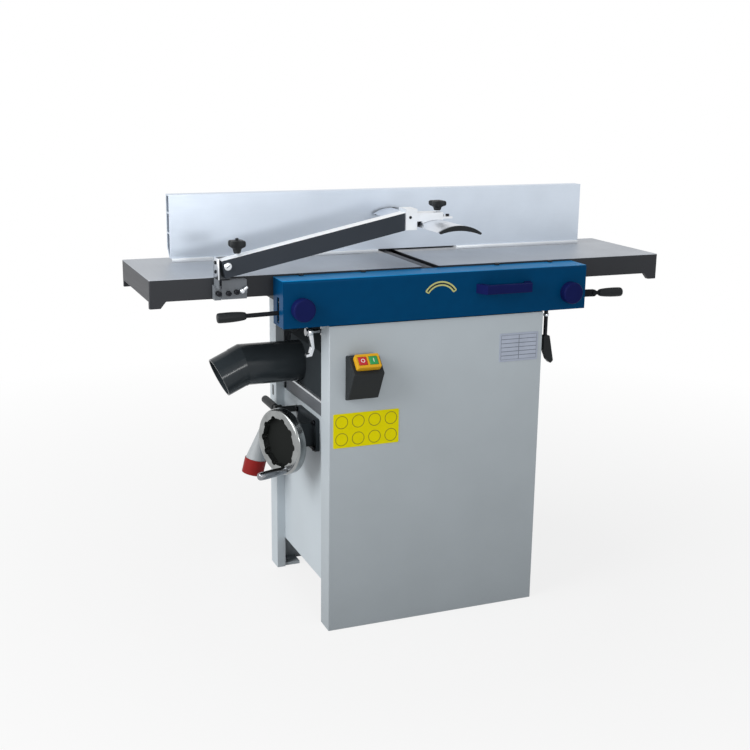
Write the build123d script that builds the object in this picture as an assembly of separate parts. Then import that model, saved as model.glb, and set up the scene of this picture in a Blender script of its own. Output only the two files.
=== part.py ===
"""A floor-standing planer and thicknesser with tilting tables, a fence and a bridge guard.

All sizes are in millimetres. The origin is on the floor, at the centre of the four floor
bolts. X runs along the tables (feed goes from +X to -X), Y runs back to the fence, Z is up.
"""
import os
from math import cos, radians, sin, tan

from build123d import *

# General clearances
RUN_FIT = 0.05  # radial clearance of a shaft in its hole
GAP = 0.5  # air between pieces that move past each other

# Cabinet
CABINET_X = 274
CABINET_Y = 228
CABINET_TOP = 744
SHEET = 2
POST_DEPTH = 54
POST_RETURN = 22
SIDE_PANEL_BOTTOM = 83
SIDE_PANEL_FOLD = 20
SCALE_SLOT = (6, 24)
SCALE_SLOT_Z = 490
TRAY_Z = 100
TRAY_THICK = 6
FOOT_SIZE = (62, 46)
FOOT_THICK = 8
FOOT_BOLT_X = 236
FOOT_BOLT_Y = 202
FOOT_HOLE_R = 7

# Tables
TABLE_TOP = 858
TABLE_FRONT = -162
TABLE_REAR = 148
OUTFEED_END = -662
OUTFEED_LIP = -20
INFEED_LIP = 23
INFEED_END = 638
TABLE_PLATE = 12
TABLE_WALL = 8
TABLE_DEPTH = 48
LIP_LENGTH = 110
LIP_DEPTH = 20
LEG_LENGTH = 24
LEG_CHAMFER = 12
LEG_WIDTH = 12
LEG_DEPTH = 63
OUTFEED_LIP_CLEAR = 3
DEPTH_OF_CUT = 4
RIB_PITCH = 130

# Cutterblock and feed rollers
KNIFE_R = 36
BLOCK_R = 33.5
CUTTER_Z = TABLE_TOP - KNIFE_R
BLOCK_FRONT = -158
BLOCK_REAR = 146
CUTTER_SHAFT_R = 15
KNIFE_COUNT = 3
KNIFE_THICK = 3
KNIFE_DEPTH = 16
KNIFE_FIT = 0.1
ROLLER_X = 64
ROLLER_R = 20
ROLLER_SHAFT_R = 8
ROLLER_DROP = 1
ROLLER_GROOVES = 12
ROLLER_GROOVE_R = 2

# Head plates that hold the cutterblock
HEAD_THICK = 10
HEAD_BOTTOM = 680
HEAD_X = CABINET_X - 4
HEAD_FRONT = -CABINET_Y + POST_DEPTH - SHEET - HEAD_THICK
HEAD_REAR = CABINET_Y - POST_DEPTH - HEAD_THICK
HEAD_MID_X = 108
HEAD_MID_TOP = 846
ARM_TOP = 775
EAR_HALF = 18
EAR_TOP = 812
REAR_HEAD_X = 250
REAR_HEAD_TOP = 812

# Rail across the front of the tables
RAIL_OVER = 44
RAIL_FRONT = -234
RAIL_BOTTOM = 747
RAIL_TOP = 853
RAIL_SHEET = 3
RAIL_BACK = TABLE_FRONT - 1
RAIL_LIP = 15
RAIL_FOLD_R = 6
RAIL_SLOT_Z = (754, 812)
RAIL_SCREW_X = (-320, -170, 175, 320)
RAIL_SCREW_R = 6

# Welded frame that carries both tables and turns on the hinge
HINGE_Y = 200
HINGE_Z = 836
HINGE_PIN_R = 10
HINGE_EYE_R = 18
HINGE_BRACKET_X = (208, 236)
BEAM_X = (262, 330)
BEAM_Z = (766, 804)
BEAM_FRONT = -150
BEAM_REAR = 176
BAR_Y = (-173, -164)
BAR_BOTTOM = 798
BAR_SHORT = 6
PAD_WIDTH = 34
TIE_Y = (151, 161)
TIE_Z = (818, 856)
NOTCH_X = 90
NOTCH_TOP = 841
POST_X = (276, 316)
POST_Y = (-100, 90)
POST_R = 8

# Lock levers and depth-of-cut lever
LOCK_AWAY = 40
LOCK_Z = 789
LEVER_Y = -197
STUD_R = 8
STUD_END = -174
CAP_R = 26
CAP_THICK = 21
HUB_R = 15
HUB_Y = (-206, -188)
LEVER_ROD_R = 5
LEVER_DROOP = 1.3
LEVER_SINK = 11.5
ROD_REACH = 118
LINK_REACH = 107
GRIP_LONG = 65
GRIP_R = (8, 11.5)
GRIP_SOCKET = 20
LINK_SIZE = (8, 17)
DEPTH_AWAY = 26
DEPTH_DROP = 8
DEPTH_SHAFT_R = 7
DEPTH_ROD = 112
DEPTH_GRIP = 71
DEPTH_BEND = 11
DEPTH_GRIP_HALF = 7
DEPTH_TURN = 40
CAM_R = 15.4
CAM_OFFSET = 6

# Bow handle
HANDLE_X = (88, 231)
HANDLE_REACH = 34
HANDLE_BAR = 12
HANDLE_Z = (801, 822.5)
HANDLE_SLANT = 13

# Fence
FENCE_X = (-562, 547)
FENCE_FACE = 75
FENCE_LIFT = 8.5
FENCE_HIGH = 149
FENCE_THICK = 32
FENCE_WALL = 4
FENCE_BEVEL = 21.4
KNUCKLE_X = ((-152, -144), (-96, -88))
TONGUE_X = ((-166, -153), (-87, -74))
SLIDE_BAR_X = (-138, -102)
SLIDE_BAR_Y = (112, 238)
SLIDE_BAR_HIGH = 5.5
TILT_Y = 99
TILT_Z = 872.5
TILT_PIN_R = 2.5
TONGUE_HIGH = 4.5
CARRIAGE_Y = (168, 200)
CARRIAGE_TOP = 900
REAR_GUARD_X = (-22, 195)
REAR_GUARD_Y = (108, 150)
REAR_GUARD_LIFT = 1.2

# Bridge guard
PIN_X = -498
PIN_Z = 887
PIN_R = 8
ARM_TILT = 11.85
ARM_Y = (-201, -169)
ARM_HIGH = 40
ARM_SINK = 5
ARM_TAIL = 10.5
ARM_REACH = 425
ARM_WALL = 4
CLAMP_X = (-508, -452)
CLAMP_Z = (812, 854)
CLAMP_SCREWS = ((-516, 826), (-494, 826), (-476, 828))
STRAP_THICK = 2
STRAP_AWAY = 19
GUARD_Y = (-315, 70)
GUARD_WIDE = 105.5
GUARD_RISE = 16
GUARD_THICK = 9.9
GUARD_FOOT = 18
GUARD_LEAN = 2.6
GUARD_AHEAD = 83
GUARD_DROP = 3.7
GUARD_CAP = 4.5
SLOT_NECK = (8, 3)
SLOT_TEE = (14, 4)
HOLDER_BRACKET = (28, 48)
HOLDER_Y = (-204, -168)
HOLDER_LONG = 66
HOLDER_HIGH = 17.4
HOLDER_LEG = 14
JAW_LONG = 14
JAW_RISE = 1.6
JAW_SCREW_R = 2.5
SCREW_PLATE = (82, 118)
SCREW_PLATE_Z = (2.8, 6.8)
KNOB_R = 21.5
KNOB_HIGH = 12
KNOB_FOOT = 3
KNOB_STEM = 13
KNOB_STEM_R = 9.4
KNOB_LOBES = 4
KNOB_AHEAD = 87
LIFT_KNOB_X = -472

# Thicknessing bed and its lift
BED_X = 255
BED_TOP = 541
BED_HIGH = 36
BED_CLEAR = 5
BED_FRONT = -160
BED_REAR = 146
BED_PLATE = 14
BED_WALL = 10
BED_RIB_X = (-150, 140)
COLUMN_Y = -14
COLUMN_R = 45
COLUMN_BOTTOM = 180
SLEEVE_WALL = 7
SLEEVE_DROP = 32
SCREW_R = 8
SCREW_BOTTOM = 170
GEAR_IN = 10.5
GEAR_OUT = 16.5
NUT_HUB_R = 13
NUT_DROP = 48
SHELF_DROP = (44, 22)

# Handwheel, turned toward the front of the machine
WHEEL_X = -333
WHEEL_Y = -59.63
WHEEL_DROP = 68
WHEEL_TURN = 20
WHEEL_R = 81
WHEEL_DEEP = 26
WHEEL_EYE_R = 59
WHEEL_LOBES = 10
WHEEL_LOBE_R = 9
WHEEL_SHAFT_R = 8
WHEEL_HUB_R = 20
WHEEL_HUB = 14
WHEEL_DISC = 6
WHEEL_DISH = 4
HUB_COVER = 4
CRANK_R = 69
CRANK_TURN = 25
CRANK_PIN_R = 4
CRANK_GRIP_R = 10
CRANK_GRIP = 80
CRANK_END = 3
BRACKET_Y = (-102, 44)
BRACKET_LOW = 24
BRACKET_HIGH = 58
BRACKET_BASE = 10
BRACKET_OUT = 32
BRACKET_EDGE = 18
BRACKET_BOSS_R = 27

# Dust hood
HOOD_LEFT = -248
HOOD_RIGHT = 90
HOOD_FRONT = -150
HOOD_REAR = 130
HOOD_TOP = 722
HOOD_SHOULDER = 655
HOOD_MOUTH = (-75, 70)
HOOD_WALL = 3
PORT_R = 50
PORT_Y = 60
PORT_Z = 600
PORT_BEND_X = -394
PORT_DROOP = 25
PORT_END = 67
PORT_SPIGOT = 50
PORT_STEP = 1
LATCH_Y = -167
LATCH_Z = 722
LATCH_ROD_R = 5
LATCH_ROD_X = (-306, -254)

# Drive
MOTOR_X = 130
MOTOR_Z = 200
MOTOR_R = 70
MOTOR_Y = (-90, 140)
MOTOR_SHAFT_R = 12
MOTOR_PULLEY_R = 45
CUTTER_PULLEY_R = 24
PULLEY_Y = (182, 204)
BELT_THICK = 6
BELT_COVER_X = 44
BELT_COVER_REAR = 211
BELT_COVER_TOP = 857

# Switch, mains inlet, bed lock and plates
SWITCH_X = (-234.5, -160)
SWITCH_Z = (569, 674)
SWITCH_DEEP = 55
SWITCH_TOP_DEEP = 22
SWITCH_LOW_DEEP = 19
SWITCH_LOW_RISE = 6
SWITCH_BREAK_Z = 641
BEZEL_SIZE = (58, 36)
BEZEL_THICK = 14
BEZEL_EDGE = 10
BUTTON_SIZE = (20, 21)
BUTTON_X = 13
BUTTON_PROUD = 15
BUTTON_DEEP = 12
INLET_Y = 140
INLET_DROP = 107
INLET_X = -325
INLET_TURN = 14
INLET_R = 26
INLET_TIP_R = 6
COLLAR_R = 28
COLLAR_BORE = 23
COLLAR_LONG = 40
SOCKET_DEEP = 32
INLET_NECK = 68
INLET_PLATE = 6
INLET_PLATE_HALF = 34
INLET_PLATE_Z = (-32, 38)
INLET_BLOCK_HALF = 24
INLET_BLOCK_Z = (-22, 26)
BED_LOCK_Y = 72
BED_LOCK_DROP = 28
BED_LOCK_X = -302
BED_LOCK_GRIP = (20, 112)
WARNING_PLATE = (-264, -101, 456, 538)
DATA_PLATE = (158, 262, 628, 697)
PLATE_THICK = 1

INNER_X = CABINET_X - POST_RETURN  # the plane of the side panels
SIDE_PANEL_TOP = BED_TOP - BED_HIGH - BED_CLEAR  # the bed passes over the side panels
DEPTH_X = CABINET_X + DEPTH_AWAY  # levers and rail follow one another out from the cabinet
DEPTH_Z = BAR_BOTTOM - DEPTH_DROP
LOCK_X = DEPTH_X + LOCK_AWAY
EAR_X = (LOCK_X - EAR_HALF, LOCK_X + EAR_HALF)
RAIL_X = LOCK_X + RAIL_OVER
BAR_X = RAIL_X - BAR_SHORT
WHEEL_Z = SIDE_PANEL_TOP - WHEEL_DROP  # what sits on the side panel follows its top edge
BRACKET_Z = (WHEEL_Z - BRACKET_LOW, WHEEL_Z + BRACKET_HIGH)
BED_LOCK_Z = SIDE_PANEL_TOP - BED_LOCK_DROP
INLET_Z = SIDE_PANEL_TOP - INLET_DROP
SLEEVE_TOP = WHEEL_Z - SLEEVE_DROP
NUT_BOTTOM = WHEEL_Z - NUT_DROP
NUT_SHELF = (WHEEL_Z - SHELF_DROP[0], WHEEL_Z - SHELF_DROP[1])
ARM_END_X = PIN_X + ARM_REACH * cos(radians(ARM_TILT))
ARM_END_Z = PIN_Z + ARM_REACH * sin(radians(ARM_TILT))
CROWN_X = ARM_END_X + GUARD_AHEAD  # the top of the guard hangs from the end of the arm
CROWN_Z = ARM_END_Z - GUARD_DROP
SCREW_Y = WHEEL_Y - WHEEL_X * tan(radians(WHEEL_TURN))  # the handwheel shaft points at the screw
WHEEL_REACH = -WHEEL_X / cos(radians(WHEEL_TURN))
PANEL_REACH = (-WHEEL_X - INNER_X) / cos(radians(WHEEL_TURN))  # from the wheel to the side panel
ROLLER_Z = CUTTER_Z - KNIFE_R - ROLLER_DROP + ROLLER_R


def span(x0, x1, y0, y1, z0, z1):
    """A block between two limits on each axis."""
    middle = ((x0 + x1) / 2, (y0 + y1) / 2, (z0 + z1) / 2)
    return Pos(*middle) * Box(x1 - x0, y1 - y0, z1 - z0)


def rod_x(y, z, radius, x0, x1):
    """A round bar along X."""
    return Pos((x0 + x1) / 2, y, z) * Rot(0, 90, 0) * Cylinder(radius, x1 - x0)


def rod_y(x, z, radius, y0, y1):
    """A round bar along Y."""
    return Pos(x, (y0 + y1) / 2, z) * Rot(90, 0, 0) * Cylinder(radius, y1 - y0)


def rod_z(x, y, radius, z0, z1):
    """A round bar along Z."""
    return Pos(x, y, (z0 + z1) / 2) * Cylinder(radius, z1 - z0)


def prism_x(points, x0, x1):
    """An outline given as (y, z) points, carried along X."""
    plane = Plane(origin=(x0, 0, 0), x_dir=(0, 1, 0), z_dir=(1, 0, 0))
    return extrude(plane * Polygon(*points, align=None), amount=x1 - x0, dir=(1, 0, 0))


def prism_y(points, y0, y1):
    """An outline given as (x, z) points, carried along Y."""
    plane = Plane(origin=(0, y0, 0), x_dir=(1, 0, 0), z_dir=(0, -1, 0))
    return extrude(plane * Polygon(*points, align=None), amount=y1 - y0, dir=(0, 1, 0))


def prism_z(points, z0, z1):
    """An outline given as (x, y) points, carried along Z."""
    return extrude(Plane.XY.offset(z0) * Polygon(*points, align=None), amount=z1 - z0)


def mirrored(shape):
    """The same piece on the other side of the machine."""
    return mirror(shape, about=Plane.YZ)


def both_sides(shape):
    """A piece and its mirror image."""
    return shape + mirrored(shape)


def edges_along(shape, axis, x=None, y=None, z=None):
    """The straight edges along one axis whose middle lies at the given place."""
    found = shape.edges().filter_by(axis)
    for value, direction in ((x, Axis.X), (y, Axis.Y), (z, Axis.Z)):
        if value is not None:
            found = found.filter_by_position(direction, value - 0.01, value + 0.01)
    return found


def folded_panel(side):
    """A front or rear sheet with a folded post at each edge; side is -1 for the front."""
    face = side * CABINET_Y
    inner = side * (CABINET_Y - SHEET)
    edge = side * (CABINET_Y - POST_DEPTH)
    lip = side * (CABINET_Y - POST_DEPTH + SHEET)
    panel = span(-CABINET_X, CABINET_X, min(face, inner), max(face, inner), 0, CABINET_TOP)
    post = span(-CABINET_X, -CABINET_X + SHEET, min(face, edge), max(face, edge), 0, CABINET_TOP)
    post += span(-CABINET_X, -INNER_X, min(lip, edge), max(lip, edge), 0, CABINET_TOP)
    panel += both_sides(post + foot(side))
    corners = edges_along(panel, Axis.Z, x=-CABINET_X, y=face)
    corners += edges_along(panel, Axis.Z, x=CABINET_X, y=face)
    return fillet(corners, SHEET * 0.9)


def foot(side):
    """A left-hand foot welded inside a post, with its floor-bolt hole."""
    wide, deep = FOOT_SIZE
    middle = (-CABINET_X + SHEET + wide / 2, side * (CABINET_Y - SHEET - deep / 2), FOOT_THICK / 2)
    plate = Pos(*middle) * Box(wide, deep, FOOT_THICK)
    return plate - rod_z(-FOOT_BOLT_X, side * FOOT_BOLT_Y, FOOT_HOLE_R, -1, FOOT_THICK + 1)


def cabinet_front():
    """The front sheet, from the floor to the rail."""
    return folded_panel(-1)


def cabinet_rear():
    """The rear sheet, with a slot in its left post for the height pointer."""
    wide, high = SCALE_SLOT
    middle = CABINET_Y - POST_DEPTH / 2
    slot = span(-CABINET_X - 1, -CABINET_X + SHEET + 1, middle - wide / 2, middle + wide / 2,
                SCALE_SLOT_Z - high / 2, SCALE_SLOT_Z + high / 2)
    return folded_panel(1) - slot


def side_panel():
    """A left-hand side sheet between the posts, folded inward along its top edge."""
    reach = CABINET_Y - POST_DEPTH
    panel = span(-INNER_X, -INNER_X + SHEET, -reach, reach, SIDE_PANEL_BOTTOM, SIDE_PANEL_TOP)
    panel += span(-INNER_X, -INNER_X + SIDE_PANEL_FOLD, -reach, reach,
                  SIDE_PANEL_TOP - SHEET, SIDE_PANEL_TOP)
    return panel


def left_side_panel():
    """The left sheet, with holes for the handwheel shaft and the bed lock."""
    panel = side_panel()
    panel -= wheel_plane() * Pos(0, 0, -PANEL_REACH) * Cylinder(WHEEL_SHAFT_R + 6, PANEL_REACH)
    panel -= rod_x(BED_LOCK_Y, BED_LOCK_Z, STUD_R + 1, -INNER_X - 5, -INNER_X + 8)
    return panel


def right_side_panel():
    """The plain right sheet."""
    return mirrored(side_panel())


def base_frame():
    """The welded tray with the motor feet, the column sleeve and the shelf that holds the lift nut."""
    reach = CABINET_Y - SHEET
    tray = span(-INNER_X + SHEET, INNER_X - SHEET, -reach, reach, TRAY_Z, TRAY_Z + TRAY_THICK)
    sleeve_r = COLUMN_R + RUN_FIT + SLEEVE_WALL
    tray += rod_z(0, COLUMN_Y, sleeve_r, TRAY_Z, SLEEVE_TOP)
    tray += span(-NUT_HUB_R - 14, NUT_HUB_R + 14, COLUMN_Y, SCREW_Y + NUT_HUB_R + 14, *NUT_SHELF)
    tray -= rod_z(0, COLUMN_Y, COLUMN_R + RUN_FIT, TRAY_Z - 1, SLEEVE_TOP + 20)
    tray -= rod_z(0, SCREW_Y, NUT_HUB_R + RUN_FIT, NUT_SHELF[0] - 1, NUT_SHELF[1] + 1)
    for foot_y in (-1, 1):
        for x in (MOTOR_X - 45, MOTOR_X + 45):
            y = 25 + foot_y * 70
            tray += span(x - 8, x + 8, y - 12, y + 12, TRAY_Z, MOTOR_Z - MOTOR_R * 0.6)
    motor_seat = rod_y(MOTOR_X, MOTOR_Z, MOTOR_R, MOTOR_Y[0] - 1, MOTOR_Y[1] + 1)
    return tray - motor_seat


def front_head_plate():
    """The front bearing plate, with an arm and an open-topped ear for each lock stud."""
    half = [(0, HEAD_BOTTOM), (HEAD_X, HEAD_BOTTOM), (HEAD_X, CABINET_TOP + 2), (EAR_X[1], CABINET_TOP + 8),
            (EAR_X[1], EAR_TOP), (EAR_X[0], EAR_TOP), (EAR_X[0], ARM_TOP), (HEAD_MID_X, ARM_TOP),
            (HEAD_MID_X, HEAD_MID_TOP), (0, HEAD_MID_TOP)]
    plate = both_sides(prism_y(half, HEAD_FRONT, HEAD_FRONT + HEAD_THICK))
    slot_r = STUD_R + GAP
    slot = rod_y(LOCK_X, LOCK_Z, slot_r, HEAD_FRONT - 1, HEAD_FRONT + HEAD_THICK + 1)
    slot += span(LOCK_X - slot_r, LOCK_X + slot_r, HEAD_FRONT - 1, HEAD_FRONT + HEAD_THICK + 1,
                 LOCK_Z, EAR_TOP + 1)
    return plate - both_sides(slot) - head_bores(HEAD_FRONT)


def head_bores(y):
    """The holes for the cutterblock and roller shafts through a head plate."""
    bores = rod_y(0, CUTTER_Z, CUTTER_SHAFT_R + RUN_FIT, y - 1, y + HEAD_THICK + 1)
    for x in (-ROLLER_X, ROLLER_X):
        bores += rod_y(x, ROLLER_Z, ROLLER_SHAFT_R + RUN_FIT, y - 1, y + HEAD_THICK + 1)
    return bores


def rear_head_plate():
    """The rear bearing plate, with a hinge bracket near each end."""
    half = [(0, HEAD_BOTTOM), (HEAD_X, HEAD_BOTTOM), (HEAD_X, CABINET_TOP - 2),
            (REAR_HEAD_X, CABINET_TOP + 10), (REAR_HEAD_X, REAR_HEAD_TOP), (HEAD_MID_X, REAR_HEAD_TOP),
            (HEAD_MID_X - 40, HEAD_MID_TOP), (0, HEAD_MID_TOP)]
    back = HEAD_REAR + HEAD_THICK
    bracket = span(*HINGE_BRACKET_X, back, HINGE_Y + HINGE_EYE_R, HINGE_Z - 56, HINGE_Z)
    bracket += rod_x(HINGE_Y, HINGE_Z, HINGE_EYE_R, *HINGE_BRACKET_X)
    bracket -= rod_x(HINGE_Y, HINGE_Z, HINGE_PIN_R, HINGE_BRACKET_X[0] - 1, HINGE_BRACKET_X[1] + 1)
    half_plate = prism_y(half, HEAD_REAR, back) + bracket
    return both_sides(half_plate) - head_bores(HEAD_REAR)


def hinge_pins():
    """The two pins the table frame swings on."""
    pin = rod_x(HINGE_Y, HINGE_Z, HINGE_PIN_R, HINGE_BRACKET_X[0], BEAM_X[1] + 8)
    pin += rod_x(HINGE_Y, HINGE_Z, HINGE_PIN_R + 5, BEAM_X[1] + 2, BEAM_X[1] + 8)
    return Compound(children=[pin, mirrored(pin)])


def hinge_beam():
    """One cross beam with its hinge arm, on the right-hand side."""
    beam = span(*BEAM_X, BEAM_FRONT, BEAM_REAR, *BEAM_Z)
    arm = span(*BEAM_X, TIE_Y[0] + 5, HINGE_Y + HINGE_EYE_R, BEAM_Z[0], HINGE_Z)
    arm += rod_x(HINGE_Y, HINGE_Z, HINGE_EYE_R, *BEAM_X)
    beam += arm + span(*BEAM_X, BAR_Y[0], BEAM_FRONT, BAR_BOTTOM, BEAM_Z[1])
    beam -= rod_x(HINGE_Y, HINGE_Z, HINGE_PIN_R + RUN_FIT, BEAM_X[0] - 1, BEAM_X[1] + 1)
    return beam


def table_frame():
    """The welded frame under both tables: beams, rear tie, front bar, pads and lever lug."""
    frame = both_sides(hinge_beam())
    frame += span(-BEAM_X[1], BEAM_X[1], *TIE_Y, *TIE_Z)
    frame += span(-BAR_X, BAR_X, *BAR_Y, BAR_BOTTOM, RAIL_TOP - RAIL_SHEET)
    for y in (TABLE_FRONT, TABLE_REAR - PAD_WIDTH):
        frame += span(-BEAM_X[1], -BEAM_X[0], y, y + PAD_WIDTH, BEAM_Z[1], TABLE_TOP - TABLE_DEPTH)
    frame -= span(-NOTCH_X, NOTCH_X, BAR_Y[0] - 1, TIE_Y[1] + 1, BAR_BOTTOM - 1, NOTCH_TOP)
    cam_reach = CAM_R + CAM_OFFSET + 2
    frame -= span(DEPTH_X - cam_reach, DEPTH_X + cam_reach, BAR_Y[1], BEAM_FRONT,
                  BAR_BOTTOM - 1, BEAM_Z[1] + 1)
    lug_z = DEPTH_Z - DEPTH_SHAFT_R - 6
    frame += span(DEPTH_X - 15, DEPTH_X + 15, *BAR_Y, lug_z, BAR_BOTTOM)
    frame -= rod_y(DEPTH_X, DEPTH_Z, DEPTH_SHAFT_R + RUN_FIT, BAR_Y[0] - 1, BAR_Y[1] + 1)
    for x in POST_X:
        for y in POST_Y:
            frame -= rod_z(x, y, POST_R + RUN_FIT, BEAM_Z[0] - 1, BEAM_Z[1] + 1)
    return frame


def table_casting(length, lip_x, lip_clear):
    """A right-hand table from its cutter lip, ribbed underneath, with a leg at each end corner."""
    end = lip_x + length
    bottom = TABLE_TOP - TABLE_DEPTH
    body = span(lip_x, end, TABLE_FRONT, TABLE_REAR, bottom, TABLE_TOP)
    body -= span(lip_x - 1, LIP_LENGTH, TABLE_FRONT - 1, TABLE_REAR + 1, bottom - 1, TABLE_TOP - LIP_DEPTH)
    body -= span(LIP_LENGTH + TABLE_WALL, end - TABLE_WALL, TABLE_FRONT + TABLE_WALL, TABLE_REAR - TABLE_WALL,
                 bottom - 1, TABLE_TOP - TABLE_PLATE)
    rib_x = end - RIB_PITCH
    while rib_x > LIP_LENGTH + RIB_PITCH / 2:
        if not BEAM_X[0] - RIB_PITCH / 3 < rib_x < BEAM_X[1] + RIB_PITCH / 3:
            body += span(rib_x, rib_x + TABLE_WALL, TABLE_FRONT, TABLE_REAR,
                         bottom + TABLE_WALL, TABLE_TOP - TABLE_PLATE)
        rib_x -= RIB_PITCH
    foot = TABLE_TOP - LEG_DEPTH
    leg = [(end, bottom), (end, foot), (end - LEG_LENGTH, foot), (end - LEG_LENGTH - LEG_CHAMFER, bottom)]
    body += prism_y(leg, TABLE_FRONT, TABLE_FRONT + LEG_WIDTH)
    body += prism_y(leg, TABLE_REAR - LEG_WIDTH, TABLE_REAR)
    body -= rod_y(0, CUTTER_Z, KNIFE_R + lip_clear, TABLE_FRONT - 1, TABLE_REAR + 1)
    corners = edges_along(body, Axis.Z, x=end, y=TABLE_FRONT) + edges_along(body, Axis.Z, x=end, y=TABLE_REAR)
    return fillet(corners, 3)


def outfeed_table():
    """The fixed table on the left of the cutterblock."""
    return mirrored(table_casting(OUTFEED_LIP - OUTFEED_END, -OUTFEED_LIP, OUTFEED_LIP_CLEAR))


def infeed_table():
    """The table on the right, with the guide posts it is lowered on."""
    table = table_casting(INFEED_END - INFEED_LIP, INFEED_LIP, DEPTH_OF_CUT + 1)
    for x in POST_X:
        for y in POST_Y:
            table += rod_z(x, y, POST_R, BEAM_Z[0] + DEPTH_OF_CUT + 1, TABLE_TOP - TABLE_PLATE)
    return table


def rail_cover():
    """The folded sheet rail along the front, with slotted end plates."""
    rail = span(-RAIL_X, RAIL_X, RAIL_FRONT, RAIL_BACK, RAIL_BOTTOM, RAIL_TOP)
    edges = edges_along(rail, Axis.X, y=RAIL_FRONT, z=RAIL_TOP)
    rail = fillet(edges, RAIL_FOLD_R)
    inside = RAIL_X - RAIL_SHEET
    rail -= span(-inside, inside, RAIL_FRONT + RAIL_SHEET, RAIL_BACK + 1, RAIL_BOTTOM + RAIL_SHEET,
                 RAIL_TOP - RAIL_SHEET)
    rail -= span(-inside, inside, RAIL_FRONT + RAIL_LIP, RAIL_BACK + 1,
                 RAIL_BOTTOM - 1, RAIL_TOP - RAIL_SHEET)
    wide = LINK_SIZE[0] / 2 + 4
    slot = span(RAIL_X - RAIL_SHEET - 1, RAIL_X + 1, LEVER_Y - wide, LEVER_Y + wide, *RAIL_SLOT_Z)
    slot += rod_y(LOCK_X, LOCK_Z, STUD_R + GAP, RAIL_FRONT - 1, RAIL_FRONT + RAIL_SHEET + 1)
    return rail - both_sides(slot)


def rail_screws():
    """The button-head screws that hold the rail to the frame bar."""
    y = (BAR_Y[0] + BAR_Y[1]) / 2
    heads = []
    for x in RAIL_SCREW_X:
        head = rod_z(x, y, RAIL_SCREW_R, RAIL_TOP, RAIL_TOP + 3.5)
        head = fillet(head.edges().group_by(Axis.Z)[-1], 1.5)
        heads.append(head - rod_z(x, y, 2, RAIL_TOP + 1.5, RAIL_TOP + 5))
    return Compound(children=heads)


def rail_handle():
    """The bow handle the tables are lifted by."""
    x0, x1 = HANDLE_X
    front = RAIL_FRONT - HANDLE_REACH
    slant, bar = HANDLE_SLANT, HANDLE_BAR
    outer = [(x0, RAIL_FRONT), (x0 + slant, front), (x1 - slant, front), (x1, RAIL_FRONT)]
    inner = [(x0 + bar + 4, RAIL_FRONT + 1), (x0 + slant + bar, front + bar), (x1 - slant - bar, front + bar),
             (x1 - bar - 4, RAIL_FRONT + 1)]
    handle = prism_z(outer, *HANDLE_Z) - prism_z(inner, HANDLE_Z[0] - 1, HANDLE_Z[1] + 1)
    return fillet(handle.edges().filter_by(Axis.X).group_by(Axis.Y)[0], 3)


def lever_place():
    """The place of a right-hand lock lever, its own X axis along the lever, below the stud."""
    return Pos(LOCK_X, LEVER_Y, LOCK_Z) * Rot(0, LEVER_DROOP, 0) * Pos(0, 0, -LEVER_SINK)


def lock_stud():
    """The stud, front cap and hub of a right-hand lock lever."""
    cap = rod_y(LOCK_X, LOCK_Z, CAP_R, RAIL_FRONT - GAP - CAP_THICK, RAIL_FRONT - GAP)
    cap = fillet(cap.edges().group_by(Axis.Y)[0], 4)
    stud = rod_y(LOCK_X, LOCK_Z, STUD_R, RAIL_FRONT - GAP - 1, STUD_END)
    return cap + stud + rod_y(LOCK_X, LOCK_Z, HUB_R, *HUB_Y)


def turned_grip(start):
    """A tapered grip along X over the end of a rod, thickest near its rounded tip."""
    grip = Pos(start + GRIP_LONG / 2, 0, 0) * Rot(0, 90, 0) * Cone(*GRIP_R, GRIP_LONG)
    grip = fillet(grip.edges().group_by(Axis.X)[-1], 3)
    return lever_place() * (grip - rod_x(0, 0, LEVER_ROD_R, start - 1, start + GRIP_SOCKET))


def left_lock_lever():
    """The left lever: cap, stud and round rod."""
    rod = lever_place() * rod_x(0, 0, LEVER_ROD_R, 0, ROD_REACH + GRIP_SOCKET)
    return mirrored(lock_stud() + rod)


def left_lock_grip():
    """The grip pushed over the left rod."""
    return mirrored(turned_grip(ROD_REACH))


def right_lock_lever():
    """The right lever: cap, stud and flat link."""
    thick, high = LINK_SIZE
    reach = LINK_REACH - 8
    link = span(0, reach, -thick / 2, thick / 2, -high / 2, high / 2)
    link = fillet(edges_along(link, Axis.Y, x=reach), high / 2.2)
    link += rod_y(reach - 9, 0, 4, -thick / 2 - 3, thick / 2 + 3)
    link += rod_x(0, 0, LEVER_ROD_R, reach - 6, LINK_REACH + GRIP_SOCKET)
    return lock_stud() + lever_place() * link


def right_lock_grip():
    """The grip pushed over the end of the right link."""
    return turned_grip(LINK_REACH)


def depth_lever():
    """The lever that lowers the infeed table: cam shaft, hub and hanging rod."""
    shaft = rod_y(DEPTH_X, DEPTH_Z, DEPTH_SHAFT_R, LEVER_Y - 8, TABLE_FRONT + 10)
    shaft += rod_y(DEPTH_X, DEPTH_Z, DEPTH_SHAFT_R + 6, LEVER_Y - 8, LEVER_Y + 8)
    cam_x = DEPTH_X - CAM_OFFSET * cos(radians(DEPTH_TURN))
    cam_z = DEPTH_Z + CAM_OFFSET * sin(radians(DEPTH_TURN))
    shaft += rod_y(cam_x, cam_z, CAM_R, TABLE_FRONT + 1, TABLE_FRONT + 10)
    return shaft + rod_z(DEPTH_X, LEVER_Y, LEVER_ROD_R, DEPTH_Z - DEPTH_ROD - GRIP_SOCKET, DEPTH_Z)


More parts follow.
